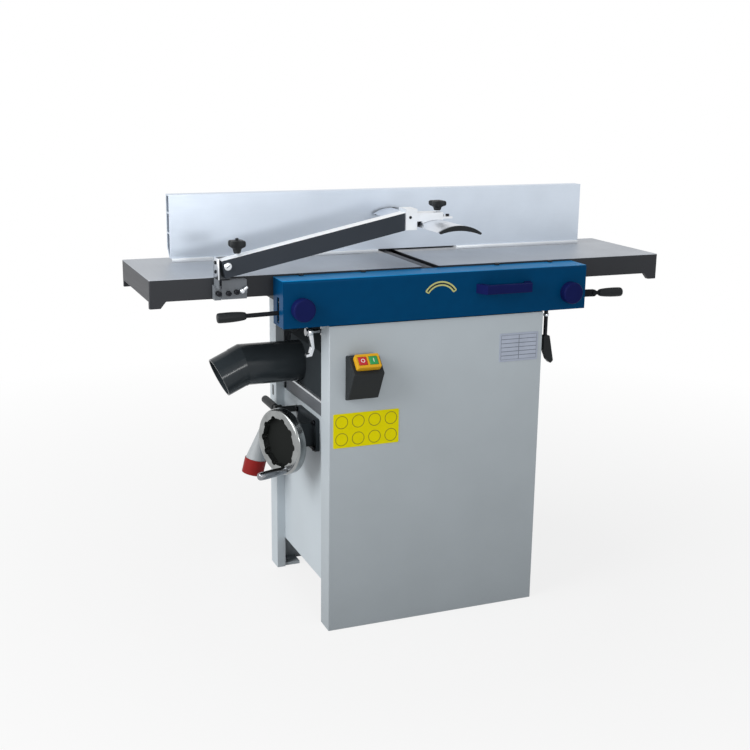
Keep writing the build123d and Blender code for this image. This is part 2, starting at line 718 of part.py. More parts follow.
def depth_grip():
    """The flat grip on the depth lever, bent a little outward."""
    top, low = DEPTH_Z - DEPTH_ROD, DEPTH_Z - DEPTH_ROD - DEPTH_GRIP
    toe = DEPTH_X + DEPTH_GRIP * tan(radians(DEPTH_BEND))
    half = DEPTH_GRIP_HALF
    outline = [(DEPTH_X - half, top), (DEPTH_X + half + 2, top), (toe + half + 1, low + half),
               (toe + 1, low), (toe - half - 3, low + half + 4), (DEPTH_X - half + 1, (top + low) / 2)]
    grip = prism_y(outline, LEVER_Y - half, LEVER_Y + half)
    grip = fillet(grip.edges().filter_by(Axis.Y), 3)
    return grip - rod_z(DEPTH_X, LEVER_Y, LEVER_ROD_R, top - GRIP_SOCKET, top + 1)


def fence_outline(inset):
    """The cross-section of the fence as (y, z) points, inset by a wall thickness."""
    front, back = FENCE_FACE + inset, FENCE_FACE + FENCE_THICK - inset
    bottom = TABLE_TOP + FENCE_LIFT + inset
    top = TABLE_TOP + FENCE_LIFT + FENCE_HIGH - inset
    bevel = FENCE_BEVEL - inset * 0.6
    return [(front, bottom), (back - bevel, bottom), (back, bottom + bevel), (back, top), (front, top)]


def fence_profile():
    """The hollow fence extrusion with two inner webs, and the knuckles it tilts on."""
    x0, x1 = FENCE_X
    fence = prism_x(fence_outline(0), x0, x1) - prism_x(fence_outline(FENCE_WALL), x0 - 1, x1 + 1)
    web_y = (FENCE_FACE + FENCE_WALL, FENCE_FACE + FENCE_THICK - FENCE_WALL)
    for share in (0.38, 0.7):
        z = TABLE_TOP + FENCE_LIFT + FENCE_HIGH * share
        fence += span(x0, x1, *web_y, z, z + FENCE_WALL)
    bevel_foot = FENCE_FACE + FENCE_THICK - FENCE_BEVEL
    bottom = TABLE_TOP + FENCE_LIFT
    ear = [(bevel_foot + 6, bottom + 6), (bevel_foot + 16, bottom + 16), (TILT_Y + TONGUE_HIGH, TILT_Z),
           (TILT_Y, TILT_Z - TONGUE_HIGH), (TILT_Y - TONGUE_HIGH, TILT_Z)]
    for knuckle_x in KNUCKLE_X:
        fence += prism_x(ear, *knuckle_x) + rod_x(TILT_Y, TILT_Z, TONGUE_HIGH, *knuckle_x)
        fence -= rod_x(TILT_Y, TILT_Z, TILT_PIN_R + RUN_FIT, knuckle_x[0] - 1, knuckle_x[1] + 1)
    return fence


def fence_carriage():
    """The carriage behind the fence: a block that straddles the slide bar, two tongues and the tilt pin."""
    y0, y1 = CARRIAGE_Y
    floor = TABLE_TOP + GAP
    x0, x1 = TONGUE_X[0][0], TONGUE_X[1][1]
    block = span(x0, x1, y0, y1, floor, CARRIAGE_TOP)
    block = fillet(edges_along(block, Axis.X, z=CARRIAGE_TOP), 6)
    block -= span(SLIDE_BAR_X[0] - GAP, SLIDE_BAR_X[1] + GAP, y0 - 1, y1 + 1,
                  floor - 1, TABLE_TOP + SLIDE_BAR_HIGH + GAP)
    for tongue_x in TONGUE_X:
        block += span(*tongue_x, TILT_Y, y0, floor, TILT_Z + TONGUE_HIGH)
        block += rod_x(TILT_Y, TILT_Z, TONGUE_HIGH, *tongue_x)
    return block + rod_x(TILT_Y, TILT_Z, TILT_PIN_R, x0, x1)


def rear_cutter_guard():
    """The dark plate that covers the cutterblock behind the fence."""
    low = TABLE_TOP + REAR_GUARD_LIFT
    plate = span(*REAR_GUARD_X, *REAR_GUARD_Y, low, low + SHEET)
    side = TONGUE_X[1][1]
    arm_y = (REAR_GUARD_Y[1] - 18, REAR_GUARD_Y[1])
    plate += span(side, REAR_GUARD_X[0] + 20, *arm_y, low, low + SHEET)
    return plate + span(side, side + SHEET, *arm_y, low, TILT_Z + TONGUE_HIGH)


def slide_bar():
    """The flat bar across the outfeed table that the carriage slides on."""
    bar = span(*SLIDE_BAR_X, *SLIDE_BAR_Y, TABLE_TOP, TABLE_TOP + SLIDE_BAR_HIGH)
    return fillet(bar.edges().filter_by(Axis.Z), 3)


def arm_place():
    """The place of the guard arm, its own X axis along the arm from the pivot pin."""
    return Pos(PIN_X, 0, PIN_Z) * Rot(0, -ARM_TILT, 0)


def guard_arm():
    """The hollow arm of the bridge guard, bored for its pivot pin and cut upright at its far end."""
    low, high = -ARM_HIGH / 2 - ARM_SINK, ARM_HIGH / 2 - ARM_SINK
    far = ARM_REACH + ARM_HIGH
    arm = span(-ARM_TAIL, far, *ARM_Y, low, high)
    arm -= span(PIN_R + 12, far + 1, ARM_Y[0] + ARM_WALL, ARM_Y[1] - ARM_WALL,
                low + ARM_WALL, high - ARM_WALL)
    arm -= rod_y(0, 0, PIN_R + RUN_FIT, ARM_Y[0] - 1, ARM_Y[1] + 1)
    beyond = span(ARM_END_X, ARM_END_X + 3 * ARM_HIGH, ARM_Y[0] - 1, ARM_Y[1] + 1,
                  ARM_END_Z - 3 * ARM_HIGH, ARM_END_Z + 3 * ARM_HIGH)
    return arm_place() * arm - beyond


def guard_clamp():
    """The clamp on the outfeed table edge, with the pivot pin and three cap screws."""
    y1 = TABLE_FRONT
    clamp = span(*CLAMP_X, ARM_Y[0] + 14, y1, *CLAMP_Z)
    clamp += span(CLAMP_X[0] - 15, CLAMP_X[0], ARM_Y[0] + 20, y1, CLAMP_Z[0] - 2, CLAMP_Z[1] - 12)
    cheek_y = (ARM_Y[1] + GAP, y1)
    clamp += span(PIN_X - STRAP_AWAY, PIN_X + 14, *cheek_y, CLAMP_Z[1] - 20, PIN_Z + 16)
    clamp += rod_y(PIN_X, PIN_Z, PIN_R, ARM_Y[0] - 3, y1 - 1)
    strap_x = (PIN_X - STRAP_AWAY - STRAP_THICK, PIN_X - STRAP_AWAY)
    clamp += span(*strap_x, ARM_Y[0], y1, CLAMP_Z[1] - 16, PIN_Z + 16)
    for x, z in CLAMP_SCREWS:
        clamp += rod_y(x, z, 5, ARM_Y[0] + 8, ARM_Y[0] + 21)
    wing_x, wing_z = CLAMP_X[1] - 12, CLAMP_Z[0] + 18
    clamp += rod_y(wing_x, wing_z, 6, ARM_Y[0] + 4, ARM_Y[0] + 14)
    return clamp + span(wing_x - 3, wing_x + 10, ARM_Y[0] + 4, ARM_Y[0] + 9, wing_z - 4, wing_z + 6)


def guard_place():
    """The guard's own frame: its origin on the crown, leaning a little to the right."""
    return Pos(CROWN_X, 0, CROWN_Z) * Rot(0, GUARD_LEAN, 0)


def arc_radius(half, rise):
    """The radius of an arc of a given half width and rise."""
    return (half * half + rise * rise) / (2 * rise)


def guard_outside(y0, y1, grow):
    """The round outside of the guard as a solid bar, grown by a clearance."""
    radius = arc_radius(GUARD_WIDE / 2, GUARD_RISE)
    return rod_y(0, -radius, radius + grow, y0, y1)


def guard_slice(y0, y1):
    """A slice of the arched guard: thickest at the crown, with a flat foot along each side."""
    half = GUARD_WIDE / 2
    hollow = arc_radius(half - GUARD_FOOT, GUARD_RISE - GUARD_THICK)
    arch = guard_outside(y0, y1, 0) & span(-half, half, y0, y1, -GUARD_RISE, GUARD_RISE)
    return arch - rod_y(0, -GUARD_THICK - hollow, hollow, y0 - 1, y1 + 1)


def crown_slot(y0, y1, trim):
    """The T-shaped slot in the crown, or the tongue that runs in it when trimmed."""
    neck, neck_deep = SLOT_NECK
    tee, tee_high = SLOT_TEE
    low = -neck_deep - tee_high + trim
    slot = span(-neck / 2 + trim, neck / 2 - trim, y0, y1, low, neck_deep)
    return slot + span(-tee / 2 + trim, tee / 2 - trim, y0, y1, low, -neck_deep - trim)


def guard_profile():
    """The arched guard over the cutterblock, slotted from its holder to its rear end."""
    y0, y1 = GUARD_Y[0] + GUARD_CAP, GUARD_Y[1] - GUARD_CAP
    return guard_place() * (guard_slice(y0, y1) - crown_slot(HOLDER_Y[0] - GAP, y1 + 1, 0))


def guard_end_caps():
    """The plastic caps on both ends of the guard."""
    y0, y1 = GUARD_Y
    front = guard_slice(y0, y0 + GUARD_CAP)
    rear = guard_slice(y1 - GUARD_CAP, y1)
    return Compound(children=[guard_place() * front, guard_place() * rear])


def guard_holder():
    """The bracket on the end of the arm, with a saddle block, its tongue, jaw screws and screw plate."""
    long, high = HOLDER_BRACKET
    y0, y1 = HOLDER_Y
    x0 = ARM_END_X + long
    bracket = span(ARM_END_X, x0, ARM_Y[0] - 5, ARM_Y[1] + 5, ARM_END_Z - high / 2, ARM_END_Z + high / 2)
    jaw_z, low = CROWN_Z - JAW_RISE, CROWN_Z - HOLDER_LEG
    block = span(x0, x0 + HOLDER_LONG, y0, y1, low, CROWN_Z + HOLDER_HIGH)
    block -= span(x0 - 1, x0 + JAW_LONG, y0 - 1, y1 + 1, low - 1, jaw_z)
    for x in (x0 + 0.3 * JAW_LONG, x0 + 0.7 * JAW_LONG):
        block += rod_z(x, y0 + 2 * JAW_SCREW_R, JAW_SCREW_R, low, jaw_z + 1)
    block -= guard_place() * guard_outside(y0 - 1, y1 + 1, GAP)
    block += span(ARM_END_X + SCREW_PLATE[0], ARM_END_X + SCREW_PLATE[1], y0, y1 - 2,
                  CROWN_Z + SCREW_PLATE_Z[0], CROWN_Z + SCREW_PLATE_Z[1])
    return bracket + block + guard_place() * crown_slot(y0, y1, GAP)


def star_knob(x, y, z):
    """A lobed clamp knob on a short stem, standing at a point."""
    low, top = z + KNOB_STEM, z + KNOB_STEM + KNOB_HIGH
    knob = rod_z(x, y, KNOB_R * 0.62, low, top)
    for lobe in range(KNOB_LOBES):
        angle = radians(45 + 360 * lobe / KNOB_LOBES)
        round_end = rod_z(x + KNOB_R * 0.62 * cos(angle), y + KNOB_R * 0.62 * sin(angle), KNOB_R * 0.38,
                          low, top - 1)
        knob += fillet(round_end.edges().group_by(Axis.Z)[-1], 3)
    knob += rod_z(x, y, KNOB_STEM_R, z + KNOB_FOOT, low)
    return knob + rod_z(x, y, STUD_R / 2, z, z + KNOB_FOOT)


def lift_knob():
    """The knob on the arm near its pivot."""
    along = (LIFT_KNOB_X - PIN_X) * tan(radians(ARM_TILT))
    top = PIN_Z + along + (ARM_HIGH / 2 - ARM_SINK) / cos(radians(ARM_TILT))
    return star_knob(LIFT_KNOB_X, sum(ARM_Y) / 2, top + 8 * tan(radians(ARM_TILT)))


def slide_knob():
    """The knob that clamps the guard in its holder."""
    return star_knob(ARM_END_X + KNOB_AHEAD, sum(HOLDER_Y) / 2, CROWN_Z + HOLDER_HIGH + GAP)


def bed_table():
    """The thicknessing bed, ribbed below and bossed for the column and the screw."""
    bottom = BED_TOP - BED_HIGH
    under = BED_TOP - BED_PLATE
    bed = span(-BED_X, BED_X, BED_FRONT, BED_REAR, bottom, BED_TOP)
    bed -= span(-BED_X + BED_WALL, BED_X - BED_WALL, BED_FRONT + BED_WALL, BED_REAR - BED_WALL,
                bottom - 1, under)
    for x in BED_RIB_X:
        bed += span(x, x + BED_WALL, BED_FRONT, BED_REAR, bottom + 4, under)
    bed += rod_z(0, COLUMN_Y, COLUMN_R + 10, bottom, under)
    bed += rod_z(0, SCREW_Y, SCREW_R + 8, bottom, under)
    bed -= rod_z(0, COLUMN_Y, COLUMN_R, bottom - 1, under)
    bed -= rod_z(0, SCREW_Y, SCREW_R, bottom - 1, under)
    return bed


def bed_column():
    """The ground column under the bed."""
    return rod_z(0, COLUMN_Y, COLUMN_R, COLUMN_BOTTOM, BED_TOP - BED_PLATE)


def lift_screw():
    """The lift screw, fixed under the bed."""
    return rod_z(0, SCREW_Y, SCREW_R, SCREW_BOTTOM, BED_TOP - BED_PLATE)


def nut_gear():
    """The nut that turns round the screw, with a bevel gear on top."""
    gear_low, gear_high = WHEEL_Z - GEAR_OUT, WHEEL_Z - GEAR_IN
    cone = Pos(0, SCREW_Y, (gear_low + gear_high) / 2) * Cone(GEAR_OUT, GEAR_IN, gear_high - gear_low)
    nut = cone + rod_z(0, SCREW_Y, NUT_HUB_R, NUT_BOTTOM, gear_low)
    return nut - rod_z(0, SCREW_Y, SCREW_R + RUN_FIT, NUT_BOTTOM - 1, gear_high + 1)


def wheel_plane():
    """The handwheel's own frame: Z along its axis outward, X downward."""
    turn = radians(WHEEL_TURN)
    return Plane(origin=(WHEEL_X, WHEEL_Y, WHEEL_Z), x_dir=(0, 0, -1), z_dir=(-cos(turn), -sin(turn), 0))


def crank_plane():
    """The crank's own frame on the face of the rim: Z along the pin, outward."""
    return wheel_plane() * Rot(0, 0, CRANK_TURN) * Pos(CRANK_R, 0, WHEEL_DEEP / 2)


def wheel_eye(deep):
    """The scalloped opening inside the rim."""
    eye = Cylinder(WHEEL_EYE_R, deep)
    for lobe in range(WHEEL_LOBES):
        angle = radians(360 * (lobe + 0.5) / WHEEL_LOBES)
        place = Pos(WHEEL_EYE_R * 0.94 * cos(angle), WHEEL_EYE_R * 0.94 * sin(angle), 0)
        eye += place * Cylinder(WHEEL_LOBE_R, deep)
    return eye


def handwheel_rim():
    """The polished rim, with the fixed pin of the crank grip."""
    rim = fillet(Cylinder(WHEEL_R, WHEEL_DEEP).edges(), 7) - wheel_eye(WHEEL_DEEP + 2)
    root, end = -WHEEL_DEEP / 2, CRANK_GRIP - CRANK_END
    pin = Pos(0, 0, (root + end) / 2) * Cylinder(CRANK_PIN_R, end - root)
    return wheel_plane() * rim + crank_plane() * pin


def handwheel_disc():
    """The dark dished centre of the handwheel, its hub closed over the end of the shaft."""
    disc = Pos(0, 0, -WHEEL_DISH - WHEEL_DISC / 2) * wheel_eye(WHEEL_DISC)
    disc += Pos(0, 0, -WHEEL_DISH - WHEEL_HUB / 2) * Cylinder(WHEEL_HUB_R, WHEEL_HUB)
    bore = Pos(0, 0, -WHEEL_DISH - HUB_COVER - WHEEL_HUB / 2) * Cylinder(WHEEL_SHAFT_R, WHEEL_HUB)
    return wheel_plane() * (disc - bore)


def handwheel_shaft():
    """The shaft from the wheel to the lift nut, with its bevel pinion."""
    start, end = -WHEEL_DISH - HUB_COVER, GEAR_OUT - WHEEL_REACH
    shaft = Pos(0, 0, (start + end) / 2) * Cylinder(WHEEL_SHAFT_R, start - end)
    pinion_long = GEAR_OUT - GEAR_IN - GAP
    pinion = Pos(0, 0, end - pinion_long / 2) * Cone(GEAR_IN, GEAR_OUT - GAP, pinion_long)
    return wheel_plane() * (shaft + pinion)


def crank_grip():
    """The grip that spins on the crank pin."""
    grip = Pos(0, 0, GAP + CRANK_GRIP / 2) * Cylinder(CRANK_GRIP_R, CRANK_GRIP)
    grip = fillet(grip.edges().group_by(Axis.Z)[-1], 4)
    return crank_plane() * (grip - Cylinder(CRANK_PIN_R + RUN_FIT, 4 * CRANK_GRIP))


def handwheel_bracket():
    """The angled bracket on the side panel that carries the handwheel shaft."""
    face, lean = -INNER_X, tan(radians(WHEEL_TURN))
    front, rear = BRACKET_Y
    low, high = BRACKET_Z
    base = span(face - BRACKET_BASE, face, front, rear, low, high)
    base = fillet(base.edges().filter_by(Axis.X), 8)
    out, half = face - BRACKET_OUT, (rear - front) / 2 - BRACKET_EDGE
    near, far = front + BRACKET_EDGE, rear - BRACKET_EDGE
    wedge = [(face, near), (face, far), (out + half * lean, far), (out - half * lean, near)]
    base += prism_z(wedge, low + 12, high - 12)
    boss_end, boss_start = -WHEEL_DEEP / 2 - 8, -PANEL_REACH - BRACKET_BOSS_R
    boss = Pos(0, 0, (boss_end + boss_start) / 2) * Cylinder(BRACKET_BOSS_R, boss_end - boss_start)
    base += wheel_plane() * boss
    base -= span(face, face + PANEL_REACH, front - PANEL_REACH, rear + PANEL_REACH,
                 low - PANEL_REACH, high + PANEL_REACH)
    return base - wheel_plane() * Cylinder(WHEEL_SHAFT_R + RUN_FIT, 4 * PANEL_REACH)


def port_path(extra):
    """The centre line of the dust duct, out of the hood and bent downward."""
    droop = radians(PORT_DROOP)
    end = (PORT_BEND_X - (PORT_END + extra) * cos(droop), PORT_Y, PORT_Z - (PORT_END + extra) * sin(droop))
    return Polyline((HOOD_LEFT + HOOD_WALL + extra, PORT_Y, PORT_Z), (PORT_BEND_X, PORT_Y, PORT_Z), end)


def duct(radius, extra):
    """The bent duct as a solid bar of one radius."""
    start = Plane(origin=(HOOD_LEFT + HOOD_WALL + extra, PORT_Y, PORT_Z), z_dir=(-1, 0, 0))
    return sweep(start * Circle(radius), path=port_path(extra), transition=Transition.RIGHT)


def hood_body(inset, top):
    """The solid shape of the hood up to a height, drawn in by a wall thickness."""
    left, right = HOOD_LEFT + inset, HOOD_RIGHT - inset
    bottom = BED_TOP + GAP + inset
    outline = [(left, bottom), (right, bottom), (right, HOOD_SHOULDER), (HOOD_MOUTH[1] - inset, top),
               (HOOD_MOUTH[0] + inset, top), (left, HOOD_SHOULDER - inset)]
    return prism_y(outline, HOOD_FRONT + inset, HOOD_REAR - inset)


def hose_spigot():
    """The sleeve cut from the end of the duct so that a hose slides on up to a shoulder."""
    path = port_path(0)
    mouth = Plane(origin=path @ 1, z_dir=path % 1)
    sleeve = Cylinder(PORT_R + 2 * PORT_STEP, PORT_SPIGOT + 2) - Cylinder(PORT_R, PORT_SPIGOT + 2)
    return mouth * Pos(0, 0, 1 - PORT_SPIGOT / 2) * sleeve


def dust_hood():
    """The chip hood on the bed, open under the cutterblock, with its dust duct."""
    hood = hood_body(0, HOOD_TOP) + duct(PORT_R + PORT_STEP, 0) - hose_spigot()
    return hood - hood_body(HOOD_WALL, HOOD_TOP + 1) - duct(PORT_R - HOOD_WALL, 1)


def latch_rod():
    """The rod on the front post that carries the hood latch."""
    x0, x1 = LATCH_ROD_X
    reach = CABINET_Y - POST_DEPTH
    block = span(-CABINET_X + 3, -INNER_X - 1, -reach, LATCH_Y + 8, LATCH_Z - 11, LATCH_Z + 11)
    rod = rod_x(LATCH_Y, LATCH_Z, LATCH_ROD_R, x0, x1)
    head = rod_x(LATCH_Y, LATCH_Z, LATCH_ROD_R + 4, x0 - 4, x0)
    return block + rod + head


def hood_latch():
    """The J-shaped strap that swings on the rod."""
    x1 = LATCH_ROD_X[0] + 12
    x0 = LATCH_ROD_X[0] + GAP
    strap = rod_x(LATCH_Y, LATCH_Z, LATCH_ROD_R + 5, x0, x1)
    outline = [(x0, LATCH_Z), (x1, LATCH_Z), (x1 + 4, LATCH_Z - 38), (x1 - 2, LATCH_Z - 56),
               (x0 - 4, LATCH_Z - 58), (x0 - 4, LATCH_Z - 52), (x1 - 7, LATCH_Z - 50), (x1 - 3, LATCH_Z - 36)]
    strap += prism_y(outline, LATCH_Y - 7, LATCH_Y + 7)
    return strap - rod_x(LATCH_Y, LATCH_Z, LATCH_ROD_R + RUN_FIT, x0 - 5, x1 + 5)


def cutterblock():
    """The cutterblock with its shaft and knife slots."""
    block = rod_y(0, CUTTER_Z, BLOCK_R, BLOCK_FRONT, BLOCK_REAR)
    block -= knife_blanks(KNIFE_FIT)
    return block + rod_y(0, CUTTER_Z, CUTTER_SHAFT_R, HEAD_FRONT - 4, PULLEY_Y[1] + 2)


def knife_blanks(grow):
    """The knives standing in the block, or their slots when grown a little."""
    half = KNIFE_THICK / 2 + grow
    blade = span(-half, half, BLOCK_FRONT - grow, BLOCK_REAR + grow, KNIFE_R - KNIFE_DEPTH - grow, KNIFE_R)
    blanks = []
    for number in range(KNIFE_COUNT):
        turn = 60 + 360 * number / KNIFE_COUNT
        blanks.append(Pos(0, 0, CUTTER_Z) * Rot(0, turn, 0) * blade)
    return blanks


def knives():
    """The three planing knives."""
    return Compound(children=knife_blanks(0))


def grooved_pulley(x, z, radius, bore):
    """A pulley with two V grooves, its rim standing over the belts."""
    y0, y1 = PULLEY_Y
    pulley = rod_y(x, z, radius, y0, y1)
    for belt_y in belt_rows():
        groove = rod_y(x, z, radius + 1, belt_y - 3.5, belt_y + 3.5) - rod_y(x, z, radius - 5, y0, y1)
        pulley -= groove
    return pulley - rod_y(x, z, bore, y0 - 1, y1 + 1)


def belt_rows():
    """The middle of each belt along Y."""
    middle = sum(PULLEY_Y) / 2
    return middle - 5.5, middle + 5.5


def cutter_pulley():
    """The pulley on the cutterblock shaft."""
    return grooved_pulley(0, CUTTER_Z, CUTTER_PULLEY_R, CUTTER_SHAFT_R)


def drive_belts():
    """Two belts from the motor pulley to the cutterblock pulley."""
    belts = []
    for belt_y in belt_rows():
        loops = []
        for depth in (5 - GAP, 5 - GAP - BELT_THICK):
            plane = Plane(origin=(0, belt_y - 3, 0), x_dir=(1, 0, 0), z_dir=(0, -1, 0))
            low = Pos(MOTOR_X, MOTOR_Z) * Edge.make_circle(MOTOR_PULLEY_R - depth)
            high = Pos(0, CUTTER_Z) * Edge.make_circle(CUTTER_PULLEY_R - depth)
            loops.append(extrude(plane * make_hull([low, high]), amount=6, dir=(0, 1, 0)))
        belts.append(loops[1] - loops[0])
    return Compound(children=belts)


def motor_body():
    """The finned motor casing with its end bells and terminal box."""
    y0, y1 = MOTOR_Y
    body = rod_y(MOTOR_X, MOTOR_Z, MOTOR_R - 4, y0, y1)
    fin_y = y0 + 30
    while fin_y < y1 - 30:
        body += rod_y(MOTOR_X, MOTOR_Z, MOTOR_R, fin_y, fin_y + 5)
        fin_y += 12
    body += span(MOTOR_X - 40, MOTOR_X + 40, y0 + 60, y1 - 60, MOTOR_Z, MOTOR_Z + MOTOR_R + 26)
    body -= rod_y(MOTOR_X, MOTOR_Z, MOTOR_SHAFT_R + RUN_FIT, y0 + 20, y1 + 1)
    return body


def motor_rotor():
    """The motor shaft with its pulley."""
    shaft = rod_y(MOTOR_X, MOTOR_Z, MOTOR_SHAFT_R, MOTOR_Y[0] + 22, PULLEY_Y[1] + 2)
    return shaft + grooved_pulley(MOTOR_X, MOTOR_Z, MOTOR_PULLEY_R, MOTOR_SHAFT_R)


def belt_cover():
    """The cover over the belts behind the rear head plate."""
    front = HEAD_REAR + HEAD_THICK
    rear, top, cut = BELT_COVER_REAR, BELT_COVER_TOP, 9
    low = CABINET_TOP + 4
    outer = [(front, low), (rear, low), (rear, top - cut), (rear - cut, top), (front, top)]
    inner = [(front - 1, CABINET_TOP), (rear - SHEET, CABINET_TOP), (rear - SHEET, top - cut - 1),
             (rear - cut - 1, top - SHEET), (front - 1, top - SHEET)]
    cover = prism_x(outer, -BELT_COVER_X, BELT_COVER_X + 20)
    cover -= prism_x(inner, -BELT_COVER_X + SHEET, BELT_COVER_X + 20 - SHEET)
    return cover


def feed_roller(x):
    """A feed roller with its shaft."""
    roller = rod_y(x, ROLLER_Z, ROLLER_R, BLOCK_FRONT, BLOCK_REAR)
    return roller + rod_y(x, ROLLER_Z, ROLLER_SHAFT_R, HEAD_FRONT - 2, HEAD_REAR + HEAD_THICK - 2)


def toothed_roller():
    """The grooved roller that draws a board in for thicknessing, from the left."""
    roller = feed_roller(-ROLLER_X)
    for number in range(ROLLER_GROOVES):
        angle = radians(360 * number / ROLLER_GROOVES)
        x = -ROLLER_X + ROLLER_R * cos(angle)
        z = ROLLER_Z + ROLLER_R * sin(angle)
        roller -= rod_y(x, z, ROLLER_GROOVE_R, BLOCK_FRONT - 1, BLOCK_REAR + 1)
    return roller


def smooth_roller():
    """The plain roller that draws the board out, on the right."""
    return feed_roller(ROLLER_X)


def switch_face():
    """The frame of the bezel on the sloped switch face: X to the right, Z out of the face."""
    front = Vector(sum(SWITCH_X) / 2, -CABINET_Y - SWITCH_DEEP, SWITCH_BREAK_Z)
    slope = Vector(0, SWITCH_DEEP - SWITCH_TOP_DEEP, SWITCH_Z[1] - SWITCH_BREAK_Z).normalized()
    middle = front + slope * (BEZEL_EDGE + BEZEL_SIZE[1] / 2)
    return Plane(origin=middle, x_dir=(1, 0, 0), z_dir=(0, -slope.Z, slope.Y))


def button_holes(clear):
    """The two button shapes, side by side, grown by a clearance."""
    wide, high = BUTTON_SIZE
    shapes = Part()
    for side in (-1, 1):
        shapes += Pos(side * BUTTON_X, 0, 0) * Box(wide + 2 * clear, high + 2 * clear, 2 * BUTTON_DEEP + 8)
    return shapes


def switch_box():
    """The switch housing: a sloped top face, and a front that runs back to the sheet at the bottom."""
    base, front = -CABINET_Y, -CABINET_Y - SWITCH_DEEP
    low, high = SWITCH_Z
    outline = [(base, low), (base - SWITCH_LOW_DEEP, low + SWITCH_LOW_RISE), (front, SWITCH_BREAK_Z),
               (base - SWITCH_TOP_DEEP, high), (base, high)]
    box = prism_x(outline, *SWITCH_X)
    sides = box.faces().sort_by(Axis.X)
    box = fillet(sides[0].edges() + sides[-1].edges() - box.faces().sort_by(Axis.Y)[-1].edges(), 3)
    return box - switch_face() * button_holes(GAP)


def switch_bezel():
    """The frame round the two buttons."""
    wide, high = BEZEL_SIZE
    bezel = Pos(0, 0, BEZEL_THICK / 2) * Box(wide, high, BEZEL_THICK)
    bezel = fillet(bezel.edges().filter_by(Axis.Z), 4)
    return switch_face() * (bezel - button_holes(GAP))


def push_button(side):
    """A button in the bezel; side is -1 for the left one."""
    wide, high = BUTTON_SIZE
    low, top = -BUTTON_DEEP + 5, BUTTON_PROUD
    button = Pos(side * BUTTON_X, 0, (low + top) / 2) * Box(wide, high, top - low)
    return switch_face() * fillet(button.edges().group_by(Axis.Z)[-1], 2)


def stop_button():
    """The left button."""
    return push_button(-1)


def start_button():
    """The right button."""
    return push_button(1)


def inlet_axis():
    """The frame of the mains inlet, Z pointing down and out of its mouth."""
    turn = radians(INLET_TURN)
    return Plane(origin=(INLET_X, INLET_Y, INLET_Z), x_dir=(0, 1, 0), z_dir=(-sin(turn), 0, -cos(turn)))


def inlet_body():
    """The flanged body of the mains inlet, with a neck that widens toward the collar."""
    face, seat = -INNER_X, -INNER_X - INLET_PLATE
    low, high = INLET_PLATE_Z
    flange = span(seat, face, INLET_Y - INLET_PLATE_HALF, INLET_Y + INLET_PLATE_HALF,
                  INLET_Z + low, INLET_Z + high)
    flange = fillet(flange.edges().filter_by(Axis.X), INLET_PLATE)
    low, high = INLET_BLOCK_Z
    block = span(INLET_X + INLET_PLATE, seat, INLET_Y - INLET_BLOCK_HALF, INLET_Y + INLET_BLOCK_HALF,
                 INLET_Z + low, INLET_Z + high)
    neck_long = INLET_NECK + INLET_BLOCK_HALF
    neck = inlet_axis() * Pos(0, 0, INLET_NECK - neck_long / 2) * Cone(INLET_TIP_R, INLET_R, neck_long)
    behind = span(seat, face + neck_long, INLET_Y - 2 * INLET_R, INLET_Y + 2 * INLET_R,
                  INLET_Z - 2 * neck_long, INLET_Z + 2 * neck_long)
    return flange + block + (neck - behind)


def inlet_collar():
    """The collar round the inlet's mouth, with the socket a mains plug goes into."""
    collar = Pos(0, 0, INLET_NECK + COLLAR_LONG / 2) * Cylinder(COLLAR_R, COLLAR_LONG)
    collar = fillet(collar.edges().group_by(Axis.Z)[-1], 2)
    socket = Pos(0, 0, INLET_NECK + COLLAR_LONG) * Cylinder(COLLAR_BORE, 2 * SOCKET_DEEP)
    return inlet_axis() * (collar - socket)


def bed_lock_lever():
    """The clamp lever for the bed, on a shaft through the side panel."""
    lever = rod_x(BED_LOCK_Y, BED_LOCK_Z, STUD_R, BED_LOCK_X, -INNER_X + 24)
    lever += rod_x(BED_LOCK_Y, BED_LOCK_Z, STUD_R + 5, BED_LOCK_X - 9, BED_LOCK_X + 9)
    lever += rod_y(BED_LOCK_X, BED_LOCK_Z, LEVER_ROD_R, BED_LOCK_Y, BED_LOCK_Y + BED_LOCK_GRIP[0] + 12)
    grip = rod_y(BED_LOCK_X, BED_LOCK_Z, 10, BED_LOCK_Y + BED_LOCK_GRIP[0], BED_LOCK_Y + BED_LOCK_GRIP[1])
    return lever + fillet(grip.edges(), 4)


def label_plates():
    """The two bare plates on the front sheet."""
    plates = []
    for x0, x1, z0, z1 in (WARNING_PLATE, DATA_PLATE):
        plate = span(x0, x1, -CABINET_Y - PLATE_THICK, -CABINET_Y, z0, z1)
        plates.append(fillet(plate.edges().filter_by(Axis.Y), 3))
    return Compound(children=plates)


